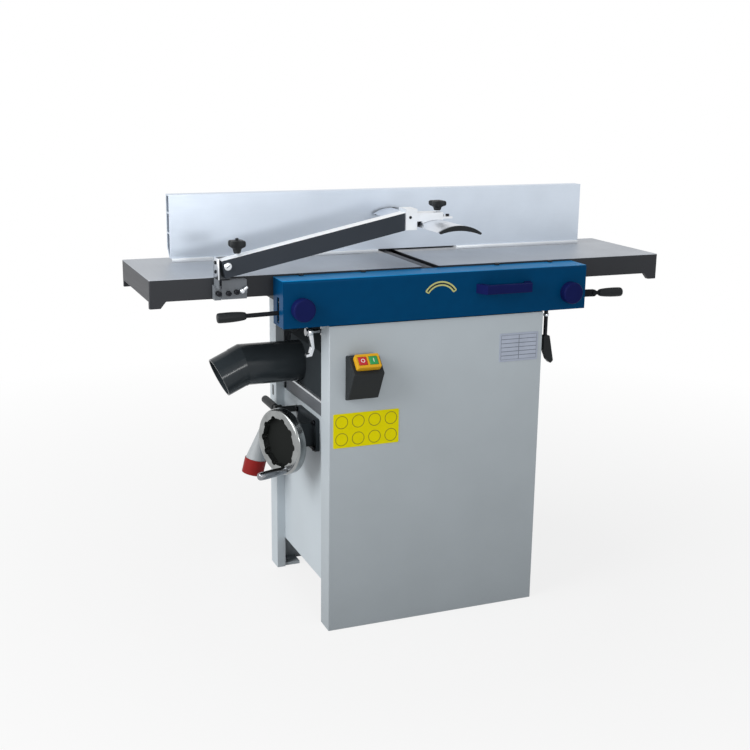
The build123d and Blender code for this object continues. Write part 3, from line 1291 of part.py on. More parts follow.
PIECES = {
    "cabinet_front": cabinet_front,
    "cabinet_rear": cabinet_rear,
    "left_side_panel": left_side_panel,
    "right_side_panel": right_side_panel,
    "base_frame": base_frame,
    "front_head_plate": front_head_plate,
    "rear_head_plate": rear_head_plate,
    "hinge_pins": hinge_pins,
    "table_frame": table_frame,
    "outfeed_table": outfeed_table,
    "infeed_table": infeed_table,
    "rail_cover": rail_cover,
    "rail_screws": rail_screws,
    "rail_handle": rail_handle,
    "left_lock_lever": left_lock_lever,
    "left_lock_grip": left_lock_grip,
    "right_lock_lever": right_lock_lever,
    "right_lock_grip": right_lock_grip,
    "depth_lever": depth_lever,
    "depth_grip": depth_grip,
    "fence_profile": fence_profile,
    "fence_carriage": fence_carriage,
    "rear_cutter_guard": rear_cutter_guard,
    "slide_bar": slide_bar,
    "guard_arm": guard_arm,
    "guard_clamp": guard_clamp,
    "guard_profile": guard_profile,
    "guard_end_caps": guard_end_caps,
    "guard_holder": guard_holder,
    "lift_knob": lift_knob,
    "slide_knob": slide_knob,
    "bed_table": bed_table,
    "bed_column": bed_column,
    "lift_screw": lift_screw,
    "nut_gear": nut_gear,
    "handwheel_rim": handwheel_rim,
    "handwheel_disc": handwheel_disc,
    "handwheel_shaft": handwheel_shaft,
    "crank_grip": crank_grip,
    "handwheel_bracket": handwheel_bracket,
    "dust_hood": dust_hood,
    "latch_rod": latch_rod,
    "hood_latch": hood_latch,
    "cutterblock": cutterblock,
    "knives": knives,
    "cutter_pulley": cutter_pulley,
    "drive_belts": drive_belts,
    "motor_body": motor_body,
    "motor_rotor": motor_rotor,
    "belt_cover": belt_cover,
    "toothed_roller": toothed_roller,
    "smooth_roller": smooth_roller,
    "switch_box": switch_box,
    "switch_bezel": switch_bezel,
    "stop_button": stop_button,
    "start_button": start_button,
    "inlet_body": inlet_body,
    "inlet_collar": inlet_collar,
    "bed_lock_lever": bed_lock_lever,
    "label_plates": label_plates,
}

if __name__ == "__main__":
    os.makedirs("parts", exist_ok=True)
    for name, make in PIECES.items():
        export_step(make(), f"parts/{name}.step")
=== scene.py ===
from itertools import product
from math import asin, atan2, cos, pi, radians, sin

import bmesh
import bpy
from bpy.props import FloatProperty, FloatVectorProperty, IntProperty, PointerProperty
from mathutils import Matrix, Vector


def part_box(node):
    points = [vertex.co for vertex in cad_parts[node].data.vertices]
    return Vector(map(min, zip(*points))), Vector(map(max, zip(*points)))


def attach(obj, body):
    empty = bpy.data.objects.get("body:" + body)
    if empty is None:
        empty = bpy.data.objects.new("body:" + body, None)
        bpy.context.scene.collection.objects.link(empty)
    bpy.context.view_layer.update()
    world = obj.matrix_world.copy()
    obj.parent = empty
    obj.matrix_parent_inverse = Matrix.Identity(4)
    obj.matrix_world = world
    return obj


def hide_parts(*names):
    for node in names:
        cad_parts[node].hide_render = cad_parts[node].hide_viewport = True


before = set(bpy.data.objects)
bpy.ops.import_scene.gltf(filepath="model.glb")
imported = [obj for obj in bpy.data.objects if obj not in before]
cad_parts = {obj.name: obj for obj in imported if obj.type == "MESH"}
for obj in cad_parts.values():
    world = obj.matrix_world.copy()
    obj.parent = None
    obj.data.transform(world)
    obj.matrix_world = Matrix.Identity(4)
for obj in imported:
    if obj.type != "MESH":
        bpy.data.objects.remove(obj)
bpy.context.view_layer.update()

bl_info = {
    "name": "Planer and thicknesser",
    "version": (1, 0, 0),
    "blender": (4, 5, 0),
    "location": "View3D > Sidebar > Planer",
    "description": "Finishes, small pieces and stage for a planer and thicknesser",
    "category": "Object",
}

MM = 0.001
FRONT, LEFT, BACK, UP = (Vector(way) for way in ((0, -1, 0), (-1, 0, 0), (0, 1, 0), (0, 0, 1)))

# places that more than one piece or finish shares, in millimetres
ARM_PIN_X, ARM_PIN_Z = -498, 887
WHEEL_HUB = (-333, -59.63, 432)
WHEEL_TURN = radians(20)
LEVER_Y = -197


def linear(hex_text):
    """An sRGB hex colour as linear red, green and blue."""
    values = [int(hex_text[i:i + 2], 16) / 255 for i in (0, 2, 4)]
    return tuple(v / 12.92 if v <= 0.04045 else ((v + 0.055) / 1.055) ** 2.4 for v in values)


def colour(label, words, hex_text):
    """A colour setting with its default."""
    return FloatVectorProperty(name=label, description=words, subtype="COLOR", default=linear(hex_text),
                               min=0, max=1)


def amount(label, words, default, unit="LENGTH"):
    """A number setting with its default, a length in metres unless it has another unit."""
    return FloatProperty(name=label, description=words, unit=unit, default=default, precision=4)


class PlanerColours(bpy.types.PropertyGroup):
    """Colours of the finishes, and of the painted light on the rail's top fold."""
    cabinet: colour("Cabinet", "Powder coat of the cabinet sheets", "BBC4CA")
    rail: colour("Rail", "Blue enamel of the front rail", "00406A")
    # painted light: a paler blue on the rail's top fold, where light falls on it
    rail_top_light: colour("Rail top", "Paler enamel on the top fold of the rail", "1084C4")
    navy: colour("Navy plastic", "Bow handle and lever caps", "131A4E")
    machine: colour("Machine paint", "Dark paint on castings and plates", "2D3337")
    clamp: colour("Clamp paint", "Grey paint of the guard's clamp", "74797F")
    table_side: colour("Table sides", "Paint on the sides of the tables", "313337")
    table_top: colour("Table top", "Ground iron of the tables", "AEB3BA")
    bed_side: colour("Bed sides", "Paint on the sides of the bed", "565B61")
    fence: colour("Fence", "Anodised aluminium of the fence", "CDD6E1")
    guard: colour("Guard", "Anodised aluminium of the bridge guard", "D6DBE3")
    arm: colour("Guard arm", "Charcoal coat of the guard arm", "333941")
    black: colour("Black plastic", "Grips, knobs and switch box", "25282A")
    hood: colour("Hood", "Glossy plastic of the dust hood", "30363A")
    yellow: colour("Yellow plate", "Enamel of the blank plate", "E0D504")
    bezel: colour("Bezel", "Frame round the buttons", "D9A419")
    red: colour("Red", "Stop button", "B8262B")
    green: colour("Green", "Start button", "2E9350")
    collar: colour("Collar", "Red collar of the mains inlet", "841C1A")
    inlet: colour("Inlet", "Grey body of the mains inlet", "A6ABAE")
    plate: colour("Data plate", "Pale enamel of the data plate", "AEB6C6")


class PlanerSizes(bpy.types.PropertyGroup):
    """Sizes of the pieces that dress the solids."""
    edge_round: amount("Edge round", "Radius on the edges of sheets and castings", 0.9 * MM)
    sign_radius: amount("Sign radius", "Outer radius of the arc on the rail", 47.2 * MM)
    sign_width: amount("Sign width", "Width of the arc on the rail", 11 * MM)
    sign_chord: amount("Sign chord", "Distance between the ends of the arc", 81 * MM)
    knob_radius: amount("Knob radius", "Outer radius of a star knob", 21.5 * MM)
    knob_lobes: IntProperty(name="Knob lobes", description="Lobes of a star knob", default=4, min=3, max=8)
    grip_radius: amount("Grip radius", "Greatest radius of a lever grip", 11.5 * MM)
    crank_radius: amount("Crank radius", "Greatest radius of the crank grip", 10 * MM)
    ring_radius: amount("Ring radius", "Radius of the blank rings on the yellow plate", 15.5 * MM)
    ring_line: amount("Ring line", "Width of the line of a ring", 1.6 * MM)
    cap_thick: amount("Cap thickness", "Thickness of the guard's end caps", 11.5 * MM)
    screw_radius: amount("Screw radius", "Head radius of the cap screws", 5.6 * MM)


class PlanerStage(bpy.types.PropertyGroup):
    """Camera and light."""
    eye: FloatVectorProperty(name="Camera place", description="Where the camera stands", subtype="XYZ",
                             unit="LENGTH", default=(-1.1587, -2.6623, 1.2949))
    turn: amount("Turn", "Turn of the camera to the right", radians(22.263), "ROTATION")
    dip: amount("Dip", "Downward tilt of the camera", radians(14.324), "ROTATION")
    roll: amount("Roll", "Roll of the camera", radians(0.721), "ROTATION")
    lens: amount("Lens", "Focal length in millimetres on a 36 mm sensor", 56.707, "NONE")
    key: amount("Key light", "Power of the soft box on the left", 130, "POWER")
    fill: amount("Fill light", "Power of the soft box in front", 6, "POWER")
    strip: amount("Strip light", "Power of the narrow lamp", 9, "POWER")
    sky: amount("Sky", "Strength of the light from all round", 0.42, "NONE")


def per(size_mm):
    """The texture scale whose features are about this size, on coordinates in metres."""
    return 1000 / size_mm


def add(tree, kind, links=None, **settings):
    """Adds a node with its settings, and links or fills its inputs; a node given means its first output."""
    made = tree.nodes.new("ShaderNode" + kind)
    for key, value in settings.items():
        setattr(made, key, value)
    for key, value in (links or {}).items():
        if isinstance(value, bpy.types.Node):
            value = value.outputs[0]
        if isinstance(value, bpy.types.NodeSocket):
            tree.links.new(value, made.inputs[key])
        else:
            made.inputs[key].default_value = value
    return made


def empty_material(name):
    """A material with no nodes yet, and its object coordinates."""
    made = bpy.data.materials.new(name)
    made.use_nodes = True
    tree = made.node_tree
    tree.nodes.clear()
    return made, tree, add(tree, "TexCoord").outputs["Object"]


def shade(colour_value, factor):
    """A colour made darker or lighter, with its alpha."""
    return tuple(min(1, c * factor) for c in colour_value[:3]) + (1,)


def beyond(tree, place, axis, level):
    """One where a coordinate is past a level, in metres, and zero before it."""
    parts = add(tree, "SeparateXYZ", {"Vector": place})
    return add(tree, "Math", {0: parts.outputs[axis], 1: level}, operation="GREATER_THAN")


def clouded(tree, place, tint, cloud_mm, dark, pale, detail=4.0):
    """A soft cloud, and a colour that it makes darker and paler."""
    cloud = add(tree, "TexNoise", {"Vector": place, "Scale": per(cloud_mm), "Detail": detail})
    tone = add(tree, "MixRGB", {"Fac": cloud, "Color1": shade(tint, dark), "Color2": shade(tint, pale)})
    return cloud, tone


def close(tree, tone, gloss, height, relief, depth, metal=0.0, shine=0.5):
    """The relief, the principled shader and the output that end a material."""
    bump = add(tree, "Bump", {"Height": height, "Strength": relief, "Distance": depth})
    shader = add(tree, "BsdfPrincipled", {"Base Color": tone, "Roughness": gloss, "Metallic": metal,
                                          "Normal": bump, "Specular IOR Level": shine})
    add(tree, "OutputMaterial", {"Surface": shader})


def painted_metal(name, paint, rough, peel_mm, shine=0.25, floor_shade=0.0):
    """Sprayed paint on metal: faint orange peel, cloudy gloss, and painted shade darkening the tone toward
    the floor.
    """
    glossier, duller, shade_ends_at = 0.05, 0.06, 750 * MM
    made, tree, place = empty_material(name)
    peel = add(tree, "TexNoise", {"Vector": place, "Scale": per(peel_mm), "Detail": 1.5})
    cloud, even = clouded(tree, place, paint, cloud_mm=160, dark=0.92, pale=1.07)
    # painted shade: the tone is darkened toward the floor, more the lower it is, up to the height where it
    # ends
    parts = add(tree, "SeparateXYZ", {"Vector": place})
    floor_shade_factor = add(tree, "MapRange", {"Value": parts.outputs["Z"], "From Max": shade_ends_at, "To Min": 1 - floor_shade})
    tone = add(tree, "VectorMath", {0: even, "Scale": floor_shade_factor}, operation="SCALE")
    gloss = add(tree, "MapRange", {"Value": cloud, "To Min": rough - glossier, "To Max": rough + duller})
    close(tree, tone, gloss, peel, relief=0.12, depth=0.2 * MM, shine=shine)
    return made


def moulded_plastic(name, tint, rough, grain_mm=0.9, relief=0.25, shine=0.3, dull_past=None):
    """Moulded plastic: a fine spark-eroded grain and a soft broken gloss, which can end past a level in X."""
    # the real grain is finer, and is drawn this coarse so that it shows
    glossier, duller = 0.06, 0.08
    made, tree, place = empty_material(name)
    grain = add(tree, "TexNoise", {"Vector": place, "Scale": per(grain_mm), "Detail": 3.0})
    smear, tone = clouded(tree, place, tint, cloud_mm=35, dark=0.86, pale=1.15, detail=3.0)
    gloss = add(tree, "MapRange", {"Value": smear, "To Min": rough - glossier, "To Max": rough + duller})
    if dull_past is not None:
        gloss = add(tree, "Math", {0: gloss, 1: beyond(tree, place, "X", dull_past)}, operation="MAXIMUM")
    close(tree, tone, gloss, grain, relief, depth=0.1 * MM, shine=shine)
    return made


def worked_metal(name, tint, rough, line_mm, along, relief=0.15):
    """Bare metal with the fine lines its tool left, drawn out along one axis."""
    # the real lines are finer, and are drawn this coarse so that they show
    glossier, duller, longer = 0.1, 0.12, 60
    made, tree, place = empty_material(name)
    scale = [per(line_mm * longer if axis == along else line_mm) for axis in "XYZ"]
    drawn = add(tree, "Mapping", {"Vector": place, "Scale": scale})
    lines = add(tree, "TexNoise", {"Vector": drawn, "Scale": 1.0, "Detail": 3.0})
    tone = clouded(tree, place, tint, cloud_mm=90, dark=0.9, pale=1.06)[1]
    gloss = add(tree, "MapRange", {"Value": lines, "To Min": rough - glossier, "To Max": rough + duller})
    close(tree, tone, gloss, lines, relief, depth=0.08 * MM, metal=1.0)
    return made


def lathe_metal(name, tint, rough, line_mm, centre, turn):
    """Metal polished on a lathe: fine rings round the axis that stretch the gloss, and a soft stain."""
    # the real rings are finer, and are drawn this coarse so that they show
    glossier, duller = 0.08, 0.12
    made, tree, place = empty_material(name)
    moved = add(tree, "VectorMath", {0: place, 1: centre}, operation="SUBTRACT")
    square = add(tree, "VectorRotate", {"Vector": moved, "Angle": turn}, rotation_type="Z_AXIS")
    flat = add(tree, "VectorMath", {0: square, 1: (0, 1, 1)}, operation="MULTIPLY")
    radius = add(tree, "VectorMath", {0: flat}, operation="LENGTH").outputs["Value"]
    rings = add(tree, "TexNoise", {"W": radius, "Scale": per(line_mm), "Detail": 2.0}, noise_dimensions="1D")
    tone = clouded(tree, place, tint, cloud_mm=30, dark=0.5, pale=1.12)[1]
    gloss = add(tree, "MapRange", {"Value": rings, "To Min": rough - glossier, "To Max": rough + duller})
    close(tree, tone, gloss, rings, relief=0.12, depth=0.08 * MM, metal=1.0)
    return made


def cast_metal(name, tint, rough, grain_mm):
    """A bare casting, bead-blasted: an even pebbled skin with dull gloss."""
    # the real pebbles are finer, and are drawn this coarse so that they show
    made, tree, place = empty_material(name)
    pebble = add(tree, "TexVoronoi", {"Vector": place, "Scale": per(grain_mm)})
    tone = clouded(tree, place, tint, cloud_mm=40, dark=0.88, pale=1.06)[1]
    close(tree, tone, rough, pebble, relief=0.18, depth=0.2 * MM, metal=0.7)
    return made


def ground_iron(name, paint, bare, level):
    """Cast iron with painted sides and a ground top: cutter lines run across the table, dulled by oil."""
    # the real lines are finer, and are drawn this coarse so that they show
    line_mm, drawn_mm, skin_mm, dark, pale = 1.6, 160, 3.2, 0.86, 1.12
    glossiest, dullest, bare_metal = 0.36, 0.54, 0.8
    made, tree, place = empty_material(name)
    top = beyond(tree, place, "Z", level)
    drawn = add(tree, "Mapping", {"Vector": place, "Scale": (per(line_mm), per(drawn_mm), per(line_mm))})
    lines = add(tree, "TexNoise", {"Vector": drawn, "Scale": 1.0, "Detail": 3.0})
    skin = add(tree, "TexNoise", {"Vector": place, "Scale": per(skin_mm), "Detail": 3.0})
    stain, iron = clouded(tree, place, bare, cloud_mm=120, dark=0.84, pale=1.1, detail=5.0)
    coat = add(tree, "MixRGB", {"Fac": stain, "Color1": shade(paint, dark), "Color2": shade(paint, pale)})
    tone = add(tree, "MixRGB", {"Fac": top, "Color1": coat, "Color2": iron})
    height = add(tree, "MixRGB", {"Fac": top, "Color1": skin, "Color2": lines})
    gloss = add(tree, "MapRange", {"Value": lines, "To Min": glossiest, "To Max": dullest})
    metal = add(tree, "Math", {0: top, 1: bare_metal}, operation="MULTIPLY")
    close(tree, tone, gloss, height, relief=0.2, depth=0.2 * MM, metal=metal, shine=0.2)
    return made


def coated_arm(name, coat, bare, level, tilt, pivot):
    """A coated tube whose top face is bare brushed metal, parted at a level square to the tilted tube."""
    # the real grain of the coat is finer, and is drawn this coarse so that it shows
    grain_mm, glossiest, dullest, bare_metal = 2.0, 0.3, 0.44, 0.6
    made, tree, place = empty_material(name)
    moved = add(tree, "VectorMath", {0: place, 1: pivot}, operation="SUBTRACT")
    square = add(tree, "VectorRotate", {"Vector": moved, "Angle": tilt}, rotation_type="Y_AXIS")
    top = beyond(tree, square.outputs["Vector"], "Z", level)
    grain = add(tree, "TexNoise", {"Vector": place, "Scale": per(grain_mm), "Detail": 3.0})
    cloud, charcoal = clouded(tree, place, coat, cloud_mm=70, dark=0.86, pale=1.14)
    tone = add(tree, "MixRGB", {"Fac": top, "Color1": charcoal, "Color2": shade(bare, 1)})
    gloss = add(tree, "MapRange", {"Value": cloud, "To Min": glossiest, "To Max": dullest})
    metal = add(tree, "Math", {0: top, 1: bare_metal}, operation="MULTIPLY")
    close(tree, tone, gloss, grain, relief=0.15, depth=0.1 * MM, metal=metal, shine=0.15)
    return made


def parted(name, first, second, axis, level, rough, grain_mm, shine):
    """Two coats, or a coat and its painted light, parted at a level of a coordinate, with a fine grain and
    uneven tone.
    """
    cloud_mm, dark, pale, glossier, duller = 24, 0.9, 1.08, 0.06, 0.08
    made, tree, place = empty_material(name)
    far = beyond(tree, place, axis, level)
    cloud = add(tree, "TexNoise", {"Vector": place, "Scale": per(cloud_mm), "Detail": 4.0})
    grain = add(tree, "TexNoise", {"Vector": place, "Scale": per(grain_mm), "Detail": 3.0})
    both = add(tree, "MixRGB", {"Fac": far, "Color1": shade(first, 1), "Color2": shade(second, 1)})
    wear = add(tree, "MapRange", {"Value": cloud, "To Min": dark, "To Max": pale})
    tone = add(tree, "VectorMath", {0: both, "Scale": wear}, operation="SCALE")
    gloss = add(tree, "MapRange", {"Value": cloud, "To Min": rough - glossier, "To Max": rough + duller})
    close(tree, tone, gloss, grain, relief=0.15, depth=0.1 * MM, shine=shine)
    return made


def finishes(scene):
    """Every finish of the machine, by name."""
    tint = scene.planer_colours
    rail_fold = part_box("rail_cover")[1].z - 1.2 * MM
    return {
        # powder coat on folded sheet: satin, with a pale cloud in the tone
        "sheet": painted_metal("powder_coated_sheet", tint.cabinet, rough=0.48, peel_mm=2.4),
        # the same coat on the front, with painted shade that darkens it toward the floor
        "front": painted_metal("dusty_powder_coated_sheet", tint.cabinet, rough=0.48, peel_mm=2.4,
                               floor_shade=0.34),
        # baked enamel: deep blue, with painted light that makes the top fold paler
        "rail": parted("blue_enamelled_sheet", tint.rail, tint.rail_top_light, "Z", level=rail_fold, rough=0.34,
                       grain_mm=3.0, shine=0.04),
        # brushed machine paint on welded plates: near black and dull
        "machine": painted_metal("dark_machine_paint", tint.machine, rough=0.45, peel_mm=2.0, shine=0.15),
        # sprayed grey on a small casting
        "clamp": painted_metal("grey_clamp_paint", tint.clamp, rough=0.42, peel_mm=1.8),
        # sprayed motor casing, seen only from below and behind
        "motor": painted_metal("motor_paint", linear("4A5157"), rough=0.45, peel_mm=2.2),
        # blackened bolts and rods: dark with a faint steel glint
        "black_oxide": worked_metal("black_oxide_steel", linear("26272B"), rough=0.4, line_mm=0.6, along="X"),
        # ground grey iron over painted flanks
        "table": ground_iron("ground_table_iron", tint.table_side, tint.table_top, level=857.2 * MM),
        "bed": ground_iron("ground_bed_iron", tint.bed_side, linear("D4D8DC"), level=536 * MM),
        # extruded and anodised: pale, with draw lines along the length
        "fence": worked_metal("anodised_fence_aluminium", tint.fence, rough=0.46, line_mm=0.9, along="X",
                              relief=0.08),
        "guard": worked_metal("anodised_guard_aluminium", tint.guard, rough=0.34, line_mm=0.7, along="Y",
                              relief=0.1),
        # charcoal coat with a bare top face
        "arm": coated_arm("coated_arm_tube", tint.arm, linear("F2F5F8"), level=14.3 * MM,
                          tilt=radians(11.85), pivot=at(ARM_PIN_X, 0, ARM_PIN_Z)),
        # bead-blasted aluminium: white and pebbled
        "casting": cast_metal("bead_blasted_aluminium", linear("E6EAEE"), rough=0.36, grain_mm=1.4),
        # lathe-polished aluminium: bright rings round the wheel
        "polished": lathe_metal("polished_wheel_aluminium", linear("A6A9A9"), rough=0.2, line_mm=0.8,
                                centre=at(*WHEEL_HUB), turn=-WHEEL_TURN),
        # an oil film on blued steel: dull and dark beside the ground tables
        "block": painted_metal("oiled_blued_steel", linear("5F6268"), rough=0.5, peel_mm=1.2, shine=0.1),
        # ground steel for shafts and rollers
        "steel": worked_metal("ground_steel", linear("9EA1A5"), rough=0.3, line_mm=0.5, along="Y"),
        # zinc plate: bright and slightly blue
        "bright": worked_metal("bright_zinc_steel", linear("D5D9DE"), rough=0.24, line_mm=0.5, along="Z"),
        # polished chrome over steel: the sharpest reflections on the machine
        "chrome": worked_metal("polished_chrome", linear("8F9195"), rough=0.18, line_mm=0.4, along="X",
                               relief=0.03),
        # turned bronze nut
        "bronze": worked_metal("turned_bronze", linear("A98345"), rough=0.3, line_mm=0.5, along="Z"),
        # brass contacts
        "brass": worked_metal("turned_brass", linear("C8A45A"), rough=0.25, line_mm=0.4, along="Z"),
        # navy caps on blackened levers
        "lever": parted("navy_cap_on_black_steel", tint.navy, linear("1E2024"), "Y", level=-233.6 * MM,
                        rough=0.4, grain_mm=0.8, shine=0.05),
        # moulded navy handle: even, with little gloss
        "navy": moulded_plastic("navy_abs", tint.navy, rough=0.42, shine=0.05),
        # glass-filled nylon: black with a fine matt grain
        "black": moulded_plastic("black_nylon", tint.black, rough=0.44, shine=0.14),
        # nylon in the shade of the rim: darker, with hardly a glint
        "disc": moulded_plastic("matt_black_nylon", linear("1A1C1B"), rough=0.6, shine=0.06),
        # polished black plastic: slow waves and small sharp lights on the duct, no gloss on the hood's walls
        "hood": moulded_plastic("glossy_black_abs", tint.hood, rough=0.17, grain_mm=14.0, relief=0.03,
                                shine=0.2, dull_past=-249 * MM),
        # belt rubber: no gloss
        "rubber": moulded_plastic("belt_rubber", linear("17171A"), rough=0.75, grain_mm=1.2, relief=0.5,
                                  shine=0.1),
        # bright moulded colours of the switch and the mains inlet
        "bezel": moulded_plastic("amber_abs", tint.bezel, rough=0.42),
        "red": moulded_plastic("red_abs", tint.red, rough=0.34),
        "green": moulded_plastic("green_abs", tint.green, rough=0.34),
        "collar": moulded_plastic("red_nylon_collar", tint.collar, rough=0.42, shine=0.15),
        "inlet": moulded_plastic("grey_nylon_inlet", tint.inlet, rough=0.45),
        # screen-printing inks: flat and thin
        "white_ink": moulded_plastic("white_marking_ink", linear("E4E4E0"), rough=0.5),
        "olive_ink": moulded_plastic("olive_marking_ink", linear("7D770E"), rough=0.5),
        "grey_ink": moulded_plastic("grey_marking_ink", linear("6B727D"), rough=0.5),
        "pale_ink": moulded_plastic("pale_marking_ink", tint.plate, rough=0.5),
        "dark_ink": moulded_plastic("dark_marking_ink", linear("0B1A24"), rough=0.5),
        "sign": moulded_plastic("yellow_sign_ink", linear("BFC07C"), rough=0.5),
        # stove enamel on two thin plates, one yellow and one pale
        "plates": parted("stove_enamelled_plates", tint.yellow, tint.plate, "X", level=0.0, rough=0.38,
                         grain_mm=1.5, shine=0.06),
    }


# the solids that each finish goes on
NODE_FINISH = {
    "front": "cabinet_front",
    "sheet": "cabinet_rear left_side_panel right_side_panel",
    "machine": "base_frame front_head_plate rear_head_plate table_frame handwheel_bracket belt_cover "
               "rear_cutter_guard",
    "motor": "motor_body",
    "rail": "rail_cover",
    "clamp": "guard_clamp",
    "table": "outfeed_table infeed_table",
    "bed": "bed_table",
    "fence": "fence_profile",
    "guard": "guard_profile",
    "arm": "guard_arm",
    "casting": "guard_holder fence_carriage",
    "polished": "handwheel_rim",
    "lever": "left_lock_lever right_lock_lever",
    "black_oxide": "depth_lever rail_screws",
    "steel": "hinge_pins slide_bar bed_column lift_screw handwheel_shaft knives motor_rotor "
             "toothed_roller smooth_roller cutter_pulley",
    "block": "cutterblock",
    "bright": "hood_latch",
    "chrome": "crank_grip latch_rod",
    "bronze": "nut_gear",
    "navy": "rail_handle",
    "black": "left_lock_grip right_lock_grip depth_grip guard_end_caps lift_knob slide_knob switch_box "
             "bed_lock_lever",
    "disc": "handwheel_disc",
    "hood": "dust_hood",
    "rubber": "drive_belts",
    "bezel": "switch_bezel",
    "red": "stop_button",
    "green": "start_button",
    "collar": "inlet_collar",
    "inlet": "inlet_body",
    "plates": "label_plates",
}

# the solids whose sharp edges are rounded
ROUNDED = ("outfeed_table infeed_table rail_cover cabinet_front cabinet_rear left_side_panel "
           "right_side_panel guard_clamp fence_profile fence_carriage bed_table switch_bezel "
           "handwheel_bracket rear_cutter_guard belt_cover hood_latch front_head_plate")

# the finishes that the first step makes, by name
MADE = {}


def at(x, y, z):
    """A point given in millimetres."""
    return Vector((x, y, z)) * MM


def placed(point, angle, axis):
    """The place of a shape that stands at a point, turned about an axis."""
    return Matrix.Translation(point) @ Matrix.Rotation(angle, 4, axis)


def paint_new(work, before, finish):
    """Gives the faces that weren't there before their finish."""
    for face in work.faces:
        if face not in before:
            face.material_index = finish


def rounded(work, items, offset, affect="EDGES", segments=2):
    """Rounds edges or corners by an offset in metres."""
    bmesh.ops.bevel(work, geom=items, offset=offset, offset_type="OFFSET", affect=affect, segments=segments,
                    profile=0.5, material=-1)


def edges_of(points):
    """The edges that meet at these points, each once."""
    return list(dict.fromkeys(edge for point in points for edge in point.link_edges))


def thicken(work, faces, way):
    """Draws faces out by a way in metres, and returns the points that moved."""
    walls = bmesh.ops.extrude_face_region(work, geom=faces)["geom"]
    moved = [item for item in walls if isinstance(item, bmesh.types.BMVert)]
    bmesh.ops.translate(work, verts=moved, vec=way)
    return moved


def arched(work, centre, inner, outer, half, lean, steps):
    """Adds a flat arch between two radii in metres, half an angle to each side of its lean."""
    start = Vector((sin(lean - half), 0, cos(lean - half)))
    ends = [work.verts.new(centre + start * radius) for radius in (inner, outer)]
    edge = work.edges.new(ends)
    bmesh.ops.spin(work, geom=ends + [edge], cent=centre, axis=BACK, angle=2 * half, steps=steps)


def turned(work, profile, foot, axis, steps=32, finish=0):
    """Adds a turned shape and returns its points; the profile is (along the axis, radius) in millimetres."""
    side = axis.orthogonal().normalized()
    old_faces, old_verts = set(work.faces), set(work.verts)
    line = [work.verts.new(foot + (axis * along + side * radius) * MM) for along, radius in profile]
    edges = [work.edges.new(pair) for pair in zip(line, line[1:])]
    bmesh.ops.spin(work, geom=line + edges, cent=foot, axis=axis, angle=2 * pi, steps=steps, use_merge=True)
    paint_new(work, old_faces, finish)
    return [point for point in work.verts if point not in old_verts]


def ring(work, inner, outer, low, high, foot, axis, steps):
    """Adds a flat ring between two radii and two heights in millimetres."""
    turned(work, [(low, inner), (high, inner), (high, outer), (low, outer), (low, inner)], foot, axis, steps)


def block(work, low, high, round_by, finish=0, place=Matrix.Identity(4)):
    """Adds a block between two corners, in millimetres, with rounded edges."""
    old_faces = set(work.faces)
    low, high = Vector(low), Vector(high)
    shape = Matrix.Translation((low + high) / 2 * MM) @ Matrix.Diagonal((*((high - low) * MM), 1))
    points = bmesh.ops.create_cube(work, size=1, matrix=place @ shape)["verts"]
    rounded(work, edges_of(points), round_by * MM)
    paint_new(work, old_faces, finish)


def cap_screw(work, foot, axis, radius, high, deep, finish=0):
    """Adds a cap screw head standing on a point, with a hexagon socket sunk to a depth."""
    socket, chamfer, nearly = radius * 0.52, 0.8, 1.01
    profile = [(0, radius * 0.96), (0.4, radius), (high - chamfer, radius), (high, radius - chamfer),
               (high, socket), (high - deep, socket), (high - deep, 0)]
    side = axis.orthogonal().normalized()
    other = axis.cross(side)
    for point in turned(work, profile, foot, axis, steps=24, finish=finish):
        arm = point.co - foot
        arm -= axis * arm.dot(axis)
        if arm.length < socket * nearly * MM:
            # a point of the round socket moves in to the side of a hexagon
            angle = atan2(arm.dot(other), arm.dot(side)) % (pi / 3)
            point.co += arm * (cos(pi / 6) / cos(angle - pi / 6) - 1)


def new_piece(name, work, coats, body, replaced=()):
    """Closes a shape, turns its faces outward, gives it its coats and sets it riding on a body."""
    merge_within, sharp_from = 0.01 * MM, radians(35)
    bmesh.ops.remove_doubles(work, verts=work.verts, dist=merge_within)
    bmesh.ops.recalc_face_normals(work, faces=work.faces)
    mesh = bpy.data.meshes.new(name)
    work.to_mesh(mesh)
    work.free()
    for coat in coats:
        mesh.materials.append(MADE[coat])
    mesh.shade_smooth()
    mesh.set_sharp_from_angle(angle=sharp_from)
    piece = bpy.data.objects.new(name, mesh)
    bpy.context.scene.collection.objects.link(piece)
    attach(piece, body)
    if replaced:
        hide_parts(*replaced)


class PLANER_OT_finishes(bpy.types.Operator):
    """Gives each solid its finish and rounds its sharp edges"""
    bl_idname = "planer.finishes"
    bl_label = "Finishes"

    def execute(self, context):
        weld_within, round_from = 0.02 * MM, radians(40)
        MADE.update(finishes(context.scene))
        for finish, names in NODE_FINISH.items():
            for name in names.split():
                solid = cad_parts[name]
                solid.data.materials.clear()
                solid.data.materials.append(MADE[finish])
        for name in ROUNDED.split():
            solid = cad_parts[name]
            weld = solid.modifiers.new("weld", "WELD")
            weld.merge_threshold = weld_within
            bevel = solid.modifiers.new("edge round", "BEVEL")
            bevel.width = context.scene.planer_sizes.edge_round
            bevel.segments = 2
            bevel.limit_method = "ANGLE"
            bevel.angle_limit = round_from
            bevel.harden_normals = True
        return {"FINISHED"}


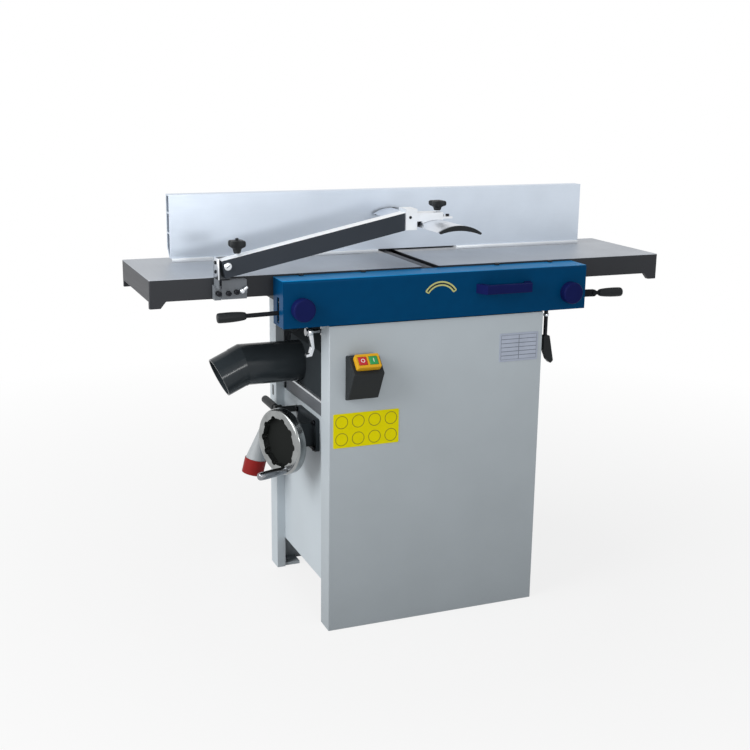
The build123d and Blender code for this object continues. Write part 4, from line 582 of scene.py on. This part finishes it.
class PLANER_OT_rail_sign(bpy.types.Operator):
    """Lays the blank arc that shows which way the cutterblock turns on the rail"""
    bl_idname = "planer.rail_sign"
    bl_label = "Rail sign"

    def execute(self, context):
        sizes = context.scene.planer_sizes
        outer, wide = sizes.sign_radius, sizes.sign_width
        middle_x, top_z, proud, thick = -2.5 * MM, 834 * MM, 0.35 * MM, 0.6 * MM
        corner, border = wide * 0.3, wide * 0.32
        centre = Vector((middle_x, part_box("rail_cover")[0].y - proud, top_z - outer))
        work = bmesh.new()
        arched(work, centre, outer - wide, outer, asin(sizes.sign_chord / 2 / outer), lean=0, steps=30)
        corners = [point for point in work.verts if len(point.link_edges) == 2]
        rounded(work, corners, corner, "VERTICES", segments=4)
        band = work.faces[:]
        bmesh.ops.inset_region(work, faces=band, thickness=border, use_even_offset=True, use_boundary=True)
        for middle in band:
            middle.material_index = 1
        thicken(work, work.faces[:], (0, thick, 0))
        new_piece("rail_sign", work, ("sign", "dark_ink"), "tables")
        return {"FINISHED"}


class PLANER_OT_star_knobs(bpy.types.Operator):
    """Models the two star knobs of the bridge guard"""
    bl_idname = "planer.star_knobs"
    bl_label = "Star knobs"

    # the head above the neck, as shares of the knob's height and radius
    HEAD = ((0.46, 0.6), (0.53, 0.84), (0.6, 0.96), (0.68, 1), (0.84, 1), (0.93, 0.96), (0.98, 0.87),
            (1, 0.72))

    def execute(self, context):
        sizes = context.scene.planer_sizes
        self.knob("lift_star_knob", "lift_knob", "lift_clamp", sizes, taller=6, stud_out=5)
        self.knob("slide_star_knob", "slide_knob", "slide_clamp", sizes)
        return {"FINISHED"}

    def knob(self, name, node, body, sizes, taller=0, stud_out=0):
        """One knob: a steel stud, a tapered neck and a lobed head with a sunk middle."""
        low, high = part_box(node)
        foot = Vector(((low.x + high.x) / 2, (low.y + high.y) / 2, low.z))
        top, rim = (high.z - low.z) / MM + taller, sizes.knob_radius / MM
        neck, waist, dish, sunk, end = rim * 0.42, rim * 0.36, 7, 0.7, top + stud_out
        hollow_from, hollow_share = 0.05, 0.36
        work = bmesh.new()
        profile = [(2.6, 0), (2.6, waist - 1), (3.4, waist), (top * 0.28, neck), (top * 0.38, neck + 0.6)]
        profile += [(top * up, rim * out) for up, out in self.HEAD]
        profile += [(top, dish + 0.4), (top - sunk, dish), (top - sunk, 0)]
        for point in turned(work, profile, foot, UP, steps=96):
            arm = (point.co - foot).xy
            reach = (arm.length / MM - neck) / (rim - neck)
            if reach > hollow_from:
                lobes = sizes.knob_lobes * (atan2(arm.y, arm.x) - pi / 4)
                hollow = 1 - hollow_share * min(1, reach) * (0.5 - 0.5 * cos(lobes))
                point.co.xy = foot.xy + arm * hollow
        stud = [(0, 0), (0, 3.4), (0.6, 4), (3, 4), (3, 0)]
        tip = [(top - 2, 0), (top - 2, 3.6), (end - 0.8, 3.6), (end, 2.8), (end, 0)]
        turned(work, stud, foot, UP, steps=24, finish=1)
        turned(work, tip, foot, UP, steps=24)
        new_piece(name, work, ("black", "bright"), body, (node,))


class PLANER_OT_lever_grips(bpy.types.Operator):
    """Turns the two tapered grips of the lock levers"""
    bl_idname = "planer.lever_grips"
    bl_label = "Lever grips"

    # millimetres along the grip, and the share of its greatest radius there
    SWELL = ((0, 0.46), (0, 0.58), (1.2, 0.68), (4, 0.77), (10, 0.85), (20, 0.93), (32, 0.985), (44, 1.0),
             (56, 0.99), (61, 0.97), (63.4, 0.92), (64.6, 0.82), (65, 0.68), (65, 0))

    def execute(self, context):
        radius = context.scene.planer_sizes.grip_radius / MM
        for side, start in (("left", 118), ("right", 107)):
            self.grip(side, start, radius)
        return {"FINISHED"}

    def grip(self, side, start, radius):
        """One grip: a rounded shoulder at the rod, a slow swell and a nearly flat end."""
        way, droop, sink, cap_x, cap_z = (-1 if side == "left" else 1), radians(1.3), 11.5, 340, 789
        foot = at(way * (cap_x - sink * sin(droop)), LEVER_Y, cap_z - sink * cos(droop))
        axis = Vector((way * cos(droop), 0, -sin(droop)))
        work = bmesh.new()
        turned(work, [(start + along, share * radius) for along, share in self.SWELL], foot, axis, steps=40)
        name = side + "_lock_grip"
        new_piece(side + "_turned_grip", work, ("black",), side + "_lock", (name,))


class PLANER_OT_depth_ferrule(bpy.types.Operator):
    """Adds the bright ferrule on the rod of the depth lever"""
    bl_idname = "planer.depth_ferrule"
    bl_label = "Depth ferrule"

    def execute(self, context):
        pivot, bore = at(300, LEVER_Y, 790), 5.05
        profile = [(58, bore), (58, 6.6), (59, 7.2), (63, 7.2), (64, 6.6), (64, bore), (58, bore)]
        work = bmesh.new()
        turned(work, profile, pivot, -UP)
        new_piece("depth_ferrule", work, ("bright",), "depth")
        return {"FINISHED"}


class PLANER_OT_crank_grip(bpy.types.Operator):
    """Turns the polished grip of the handwheel's crank"""
    bl_idname = "planer.crank_grip"
    bl_label = "Crank grip"

    # millimetres along the grip, and the share of its greatest radius there
    SWELL = ((13.4, 0.42), (13.4, 0.7), (14.2, 0.8), (18, 0.86), (30, 0.92), (50, 1.0), (76, 1.0), (86, 0.97),
             (90.6, 0.88), (92.6, 0.74), (93.3, 0.56), (93.3, 0))

    def execute(self, context):
        radius, foot = context.scene.planer_sizes.crank_radius / MM, at(-323.03, -87.03, 369.47)
        axis = Vector((-cos(WHEEL_TURN), -sin(WHEEL_TURN), 0))
        work = bmesh.new()
        turned(work, [(along, share * radius) for along, share in self.SWELL], foot, axis, steps=40)
        new_piece("turned_crank_grip", work, ("chrome",), "crank", ("crank_grip",))
        return {"FINISHED"}


class PLANER_OT_cap_screws(bpy.types.Operator):
    """Sets the socket screws of the clamp, the bracket, the inlet, the holder, the carriage and the covers"""
    bl_idname = "planer.cap_screws"
    bl_label = "Cap screws"

    def execute(self, context):
        head = context.scene.planer_sizes.screw_radius / MM
        large = head * 1.15
        # each row: the seats as x, y and z, the way the heads face, their radius, height and socket depth
        screws = {
            ("clamp_screws", "tables"): (
                ([(-516, -181, 826)], FRONT, head, 16, 3.4),
                ([(-494, -187, 826), (-476, -187, 828)], FRONT, head, 10, 3.4)),
            ("bracket_screws", "base"): (
                (product([-262], [-93, 35], [417, 481]), LEFT, large, 6, 3),),
            ("inlet_screws", "base"): (
                (product([-258], [112, 168], [367, 425]), LEFT, 3.4, 2.6, 1.6),),
            ("holder_screws", "arm"): (
                ([(-71, -206, 979)], FRONT, 3.4, 1.6, 1),
                (product([17, 31], [-186], [977.4]), UP, 4.4, 4.5, 2)),
            ("carriage_screws", "carriage"): (
                (product([-156, -84], [184], [900]), UP, head, 6, 3),),
            ("cover_screws", "base"): (
                (product([-36, 56], [211], [756, 838]), BACK, 4, 3, 1.8),
                (product([-262, 262], [228], [40, 380, 720]), BACK, 4.6, 3, 1.8)),
        }
        for (name, body), rows in screws.items():
            work = bmesh.new()
            for seats, way, radius, high, deep in rows:
                for seat in seats:
                    cap_screw(work, at(*seat), way, radius, high, deep)
            new_piece(name, work, ("black_oxide",), body)
        return {"FINISHED"}


class PLANER_OT_clamp_trim(bpy.types.Operator):
    """Adds the bright pin head, strap and wing of the guard's clamp"""
    bl_idname = "planer.clamp_trim"
    bl_label = "Clamp trim"

    def execute(self, context):
        self.pin_head()
        self.strap()
        self.wing()
        return {"FINISHED"}

    def pin_head(self):
        """The domed head of the arm's pin, with a dark slot across it."""
        seat_y, slot_y, slot_turn = -201.6, -206.7, radians(-35)
        dome = [(0, 0), (0, 7.8), (0.8, 8.6), (3.6, 8.6), (4.6, 7.7), (5, 6.2), (5, 0)]
        slot = placed(at(ARM_PIN_X, slot_y, ARM_PIN_Z), slot_turn, "Y")
        work = bmesh.new()
        turned(work, dome, at(ARM_PIN_X, seat_y, ARM_PIN_Z), FRONT, steps=40)
        block(work, (-4.8, -0.2, -0.8), (4.8, 0.3, 0.8), round_by=0.1, finish=1, place=slot)
        new_piece("pin_head", work, ("bright", "dark_ink"), "tables")

    def strap(self):
        """The flat strap on the left of the clamp, with its two screws."""
        low, high, screw_y = (-520, -201.5, 858), (-516.6, -162, 904), -184
        work = bmesh.new()
        block(work, low, high, round_by=0.5)
        for screw_z in (874, 894):
            cap_screw(work, at(low[0], screw_y, screw_z), LEFT, radius=4, high=3, deep=1.6, finish=1)
        new_piece("clamp_strap", work, ("bright", "black_oxide"), "tables")

    def wing(self):
        """The wing screw on the right of the clamp: a domed hub and one raised wing."""
        hub = [(0, 0), (0, 6.2), (1, 6.6), (9, 6), (11.4, 4), (12, 0)]
        root, lift = at(-462, -194.5, 832), radians(-38)
        work = bmesh.new()
        turned(work, hub, at(-464, -187, 830), FRONT)
        block(work, (-2, -3, -3.6), (12, 3, 3.6), round_by=2, place=placed(root, lift, "Y"))
        new_piece("clamp_wing", work, ("bright",), "tables")


class PLANER_OT_guard_caps(bpy.types.Operator):
    """Bends the two rounded end caps of the bridge guard"""
    bl_idname = "planer.guard_caps"
    bl_label = "Guard caps"

    def execute(self, context):
        low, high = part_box("guard_end_caps")
        thick = context.scene.planer_sizes.cap_thick
        half, rise, spare, deep, lean = 52.4 * MM, 16 * MM, 0.4 * MM, 4.5 * MM, radians(2.6)
        radius = (half * half + rise * rise) / (2 * rise) + spare
        crown = Vector((0.24 * MM, low.y, high.z))
        work = bmesh.new()
        for y in (low.y, high.y - deep):
            centre = crown + Vector((0, y - low.y, -radius))
            self.band(work, centre, radius, thick, asin(half / radius), lean, deep)
        new_piece("rounded_guard_caps", work, ("black",), "guard", ("guard_end_caps",))
        return {"FINISHED"}

    def band(self, work, centre, radius, thick, half, lean, deep):
        """One cap: a strip bent over the end of the guard, thickest at the crown, with round tips."""
        thinner, tip = 0.58, thick * 0.18
        old = set(work.verts)
        arched(work, centre, radius - thick, radius, half, lean, steps=36)
        for point in work.verts:
            arm = point.co - centre
            if point not in old and arm.length < radius - thick / 2:
                share = (atan2(arm.x, arm.z) - lean) / half
                point.co += arm.normalized() * thick * thinner * share * share
        tips = [point for point in work.verts if point not in old and len(point.link_edges) == 2]
        rounded(work, tips, tip, "VERTICES", segments=4)
        strip = dict.fromkeys(face for point in work.verts if point not in old for face in point.link_faces)
        thicken(work, list(strip), (0, deep, 0))


class PLANER_OT_jaw_screws(bpy.types.Operator):
    """Adds the two dark jaw screws of the guard's holder, with the pin between them"""
    bl_idname = "planer.jaw_screws"
    bl_label = "Jaw screws"

    def execute(self, context):
        low, pin_up = 956.3, 6
        screw = [(0, 0), (0, 2.4), (0.5, 2.75), (12.6, 2.75), (12.6, 0)]
        pin = [(0, 0), (0, 1.5), (13, 1.5), (13, 0)]
        work = bmesh.new()
        for x in (-49.9, -44.3):
            turned(work, screw, at(x, -199, low), UP, steps=24)
        turned(work, pin, at(-53.6, -199.6, low + pin_up), -LEFT, steps=16)
        new_piece("jaw_screws", work, ("black_oxide",), "arm")
        return {"FINISHED"}


class PLANER_OT_fence_strip(bpy.types.Operator):
    """Lays the bright strips along the foot of the fence, on both sides of the plate over the cutterblock"""
    bl_idname = "planer.fence_strip"
    bl_label = "Fence strip"

    def execute(self, context):
        low, high = (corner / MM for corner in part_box("fence_profile"))
        plate_low, plate_high = (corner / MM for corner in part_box("rear_cutter_guard"))
        table, bar = (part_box(node)[1].z / MM for node in ("outfeed_table", "slide_bar"))
        floor, over, top = table + 0.5, bar + 1.1, low.z + 0.3
        front, back, tail = low.y - 6.2, low.y - 3.6, low.y + 5
        clear, left_lap, right_lap = 3, 38, 13
        profile = [(front, floor), (back, floor), (back, over), (tail, over), (tail, top), (front, top)]
        work = bmesh.new()
        self.strip(work, profile, low.x + clear, plate_low.x + left_lap)
        self.strip(work, profile, plate_high.x - right_lap, high.x - clear)
        new_piece("fence_strips", work, ("casting",), "fence")
        return {"FINISHED"}

    def strip(self, work, profile, start, end):
        """One strip: a lip in front of the fence, joined to its foot above the height of the slide bar."""
        round_by = 0.4 * MM
        outline = [work.verts.new(at(start, y, z)) for y, z in profile]
        moved = thicken(work, [work.faces.new(outline)], ((end - start) * MM, 0, 0))
        rounded(work, edges_of(outline + moved), round_by)


class PLANER_OT_painted_slot_shade(bpy.types.Operator):
    """Fills the slot of the height pointer in the rear post with a black block, painted shade for its dark
    inside
    """
    bl_idname = "planer.pointer_window"
    bl_label = "Pointer window"

    def execute(self, context):
        work = bmesh.new()
        # painted shade: a black block where the slot shows only shade
        block(work, (-274.8, 196.2, 476.5), (-273.4, 205.8, 503.5), round_by=0.3)
        new_piece("pointer_window", work, ("black",), "base")
        return {"FINISHED"}


class PLANER_OT_button_marks(bpy.types.Operator):
    """Prints the ring on the stop button and the bar on the start button"""
    bl_idname = "planer.button_marks"
    bl_label = "Button marks"

    def execute(self, context):
        slope, sunk, proud, inner, outer, half_bar = pi / 4, 0.2, 0.25, 3.4, 4.8, 0.8
        out = Vector((0, -cos(slope), sin(slope)))
        stop, start = (self.face(node, out) for node in ("stop_button", "start_button"))
        work = bmesh.new()
        ring(work, inner, outer, -sunk, proud, stop, out, steps=36)
        new_piece("stop_mark", work, ("white_ink",), "stop")
        work = bmesh.new()
        tilt = placed(start, slope, "X")
        block(work, (-half_bar, -outer, -sunk), (half_bar, outer, proud), round_by=0.1, place=tilt)
        new_piece("start_mark", work, ("white_ink",), "start")
        return {"FINISHED"}

    def face(self, node, out):
        """The middle of a button's sloped face."""
        points = [point.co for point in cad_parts[node].data.vertices]
        middle = sum(points, Vector()) / len(points)
        reach = max((point - middle).dot(out) for point in points)
        low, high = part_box(node)
        across = (low + high) / 2 - middle
        across -= out * across.dot(out)
        return middle + out * reach + across


class PLANER_OT_plate_prints(bpy.types.Operator):
    """Prints blank rings on the yellow plate and a blank ruled form on the pale one"""
    bl_idname = "planer.plate_prints"
    bl_label = "Plate prints"

    def execute(self, context):
        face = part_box("label_plates")[0].y / MM
        self.rings(context.scene.planer_sizes, face)
        self.form(face)
        return {"FINISHED"}

    def rings(self, sizes, face):
        """Two rows of four rings."""
        first_x, step_x, first_z, step_z, sunk, proud = -243.6, 40.8, 476.5, 41, 0.2, 0.15
        outer, line = sizes.ring_radius / MM, sizes.ring_line / MM
        work = bmesh.new()
        for column, row in product(range(4), range(2)):
            foot = at(first_x + step_x * column, face, first_z + step_z * row)
            ring(work, outer - line, outer, -sunk, proud, foot, FRONT, steps=48)
        new_piece("plate_rings", work, ("olive_ink",), "base")

    def form(self, face):
        """A form of two columns and six rows, with pale cells between grey lines."""
        middle_x, middle_z, wide, high, proud = 210, 662.5, 96 * MM, 60 * MM, 0.1
        half_line, thick = 0.8 * MM, 0.3 * MM
        upright = placed(at(middle_x, face - proud, middle_z), pi / 2, "X")
        work = bmesh.new()
        bmesh.ops.create_grid(work, x_segments=2, y_segments=6, size=0.5,
                              matrix=upright @ Matrix.Diagonal((wide, high, 1, 1)))
        cells = work.faces[:]
        bmesh.ops.inset_individual(work, faces=cells, thickness=half_line, use_even_offset=True)
        for cell in cells:
            cell.material_index = 1
        thicken(work, work.faces[:], (0, thick, 0))
        new_piece("ruled_form", work, ("grey_ink", "pale_ink"), "base")


class PLANER_OT_socket_pins(bpy.types.Operator):
    """Sets the contact pins of the mains inlet"""
    bl_idname = "planer.socket_pins"
    bl_label = "Socket pins"

    def execute(self, context):
        lean, neck, deep, circle, pins = radians(14), at(-325, 140, 393), 76, 12, 4
        pin = [(-1, 0), (-1, 2.6), (17, 2.6), (19.4, 1.6), (20, 0)]
        axis = Vector((-sin(lean), 0, -cos(lean)))
        floor, across = neck + axis * deep * MM, axis.cross(BACK)
        work = bmesh.new()
        for number in range(pins):
            angle = 2 * pi * number / pins + pi / 4
            foot = floor + (BACK * cos(angle) + across * sin(angle)) * circle * MM
            turned(work, pin, foot, axis, steps=20)
        new_piece("socket_pins", work, ("brass",), "base")
        return {"FINISHED"}


class PLANER_OT_stage(bpy.types.Operator):
    """Builds the floor, the lights and the camera"""
    bl_idname = "planer.stage"
    bl_label = "Stage"

    # each lamp: where it stands, where it points, and its width and height, in metres
    LAMPS = {
        "key": ((-3.6, -0.9, 2.4), (0, 0, 0.6), (2.4, 2.4)),
        "fill": ((1.2, -3.6, 2.4), (0, 0, 0.7), (2.4, 1.8)),
        "strip": ((-0.27, -2.52, 1.08), (-0.43, 0, 0.59), (0.6, 0.2)),
    }

    def execute(self, context):
        scene = context.scene
        stage = scene.planer_stage
        scene.view_settings.view_transform = "Standard"
        self.world(scene, stage)
        self.floor(scene)
        for name, (place, aim, size) in self.LAMPS.items():
            self.lamp(scene, name + "_box", place, aim, size, getattr(stage, name))
        self.camera(scene, stage)
        return {"FINISHED"}

    def seen(self, tree):
        """One for rays from the camera, a reflection or a clear body."""
        rays = add(tree, "LightPath").outputs
        seen = add(tree, "Math", {0: rays["Is Camera Ray"], 1: rays["Is Glossy Ray"]}, operation="MAXIMUM")
        return add(tree, "Math", {0: seen, 1: rays["Is Transmission Ray"]}, operation="MAXIMUM")

    def world(self, scene, stage):
        """White to the eye and in reflections, and a softer light from all round otherwise."""
        scene.world = scene.world or bpy.data.worlds.new("studio")
        scene.world.use_nodes = True
        tree = scene.world.node_tree
        tree.nodes.clear()
        power = add(tree, "MapRange", {"Value": self.seen(tree), "To Min": stage.sky, "To Max": 1.0})
        sky = add(tree, "Background", {"Color": (1, 1, 1, 1), "Strength": power})
        add(tree, "OutputWorld", {"Surface": sky})

    def floor(self, scene):
        """A wide pale floor that keeps a soft shadow near the machine and runs out to white."""
        near, out, near_glow, out_glow, grey, half, under = 0.6, 2.6, 0.82, 1.0, 0.6, 20, 1 * MM
        made, tree, place = empty_material("pale_floor")
        far = add(tree, "VectorMath", {0: place}, operation="LENGTH").outputs["Value"]
        fade = add(tree, "MapRange", {"Value": far, "From Min": near, "From Max": out, "To Min": near_glow,
                                      "To Max": out_glow})
        matt = add(tree, "BsdfDiffuse", {"Color": (grey, grey, grey, 1)})
        glow = add(tree, "Emission", {"Color": (1, 1, 1, 1), "Strength": 1.0})
        share = add(tree, "Math", {0: self.seen(tree), 1: fade}, operation="MULTIPLY")
        both = add(tree, "MixShader", {0: share, 1: matt, 2: glow})
        add(tree, "OutputMaterial", {"Surface": both})
        work = bmesh.new()
        bmesh.ops.create_grid(work, x_segments=1, y_segments=1, size=half)
        bmesh.ops.translate(work, verts=work.verts, vec=(0, 0, -under))
        mesh = bpy.data.meshes.new("floor")
        work.to_mesh(mesh)
        work.free()
        mesh.materials.append(made)
        ground = bpy.data.objects.new("floor", mesh)
        scene.collection.objects.link(ground)

    def lamp(self, scene, name, place, aim, size, power):
        """A soft box that points at a spot."""
        data = bpy.data.lights.new(name, "AREA")
        data.shape = "RECTANGLE"
        data.energy = power
        data.size, data.size_y = size
        box = bpy.data.objects.new(name, data)
        box.location = place
        box.rotation_euler = (Vector(aim) - Vector(place)).to_track_quat("-Z", "Y").to_euler()
        scene.collection.objects.link(box)

    def camera(self, scene, stage):
        """The camera where the photograph was taken."""
        ahead = Vector((sin(stage.turn) * cos(stage.dip), cos(stage.turn) * cos(stage.dip), -sin(stage.dip)))
        level = Vector((cos(stage.turn), -sin(stage.turn), 0))
        upward = level.cross(ahead)
        right = level * cos(stage.roll) + upward * sin(stage.roll)
        up = upward * cos(stage.roll) - level * sin(stage.roll)
        data = bpy.data.cameras.new("camera")
        data.sensor_width = 36
        data.lens = stage.lens
        eye = bpy.data.objects.new("camera", data)
        turn = Matrix((right, up, -ahead)).transposed().to_4x4()
        eye.matrix_world = Matrix.Translation(stage.eye) @ turn
        scene.collection.objects.link(eye)
        scene.camera = eye


class PLANER_PT_panel(bpy.types.Panel):
    """Lists the steps in the sidebar"""
    bl_idname = "PLANER_PT_panel"
    bl_label = "Planer"
    bl_space_type = "VIEW_3D"
    bl_region_type = "UI"
    bl_category = "Planer"

    def draw(self, context):
        for step in STEPS:
            self.layout.operator(step.bl_idname)


STEPS = (PLANER_OT_finishes, PLANER_OT_rail_sign, PLANER_OT_star_knobs, PLANER_OT_lever_grips,
         PLANER_OT_depth_ferrule, PLANER_OT_crank_grip, PLANER_OT_cap_screws, PLANER_OT_clamp_trim,
         PLANER_OT_guard_caps, PLANER_OT_jaw_screws, PLANER_OT_fence_strip, PLANER_OT_painted_slot_shade,
         PLANER_OT_button_marks, PLANER_OT_plate_prints, PLANER_OT_socket_pins, PLANER_OT_stage)
GROUPS = {"planer_colours": PlanerColours, "planer_sizes": PlanerSizes, "planer_stage": PlanerStage}


def register():
    for group in GROUPS.values():
        bpy.utils.register_class(group)
    for name, group in GROUPS.items():
        setattr(bpy.types.Scene, name, PointerProperty(type=group))
    for step in STEPS:
        bpy.utils.register_class(step)
    bpy.utils.register_class(PLANER_PT_panel)


def unregister():
    bpy.utils.unregister_class(PLANER_PT_panel)
    for step in reversed(STEPS):
        bpy.utils.unregister_class(step)
    for name in GROUPS:
        delattr(bpy.types.Scene, name)
    for group in reversed(list(GROUPS.values())):
        bpy.utils.unregister_class(group)


def main():
    register()
    bpy.ops.planer.finishes()
    bpy.ops.planer.rail_sign()
    bpy.ops.planer.star_knobs()
    bpy.ops.planer.lever_grips()
    bpy.ops.planer.depth_ferrule()
    bpy.ops.planer.crank_grip()
    bpy.ops.planer.cap_screws()
    bpy.ops.planer.clamp_trim()
    bpy.ops.planer.guard_caps()
    bpy.ops.planer.jaw_screws()
    bpy.ops.planer.fence_strip()
    bpy.ops.planer.pointer_window()
    bpy.ops.planer.button_marks()
    bpy.ops.planer.plate_prints()
    bpy.ops.planer.socket_pins()
    bpy.ops.planer.stage()


if __name__ == "__main__":
    main()
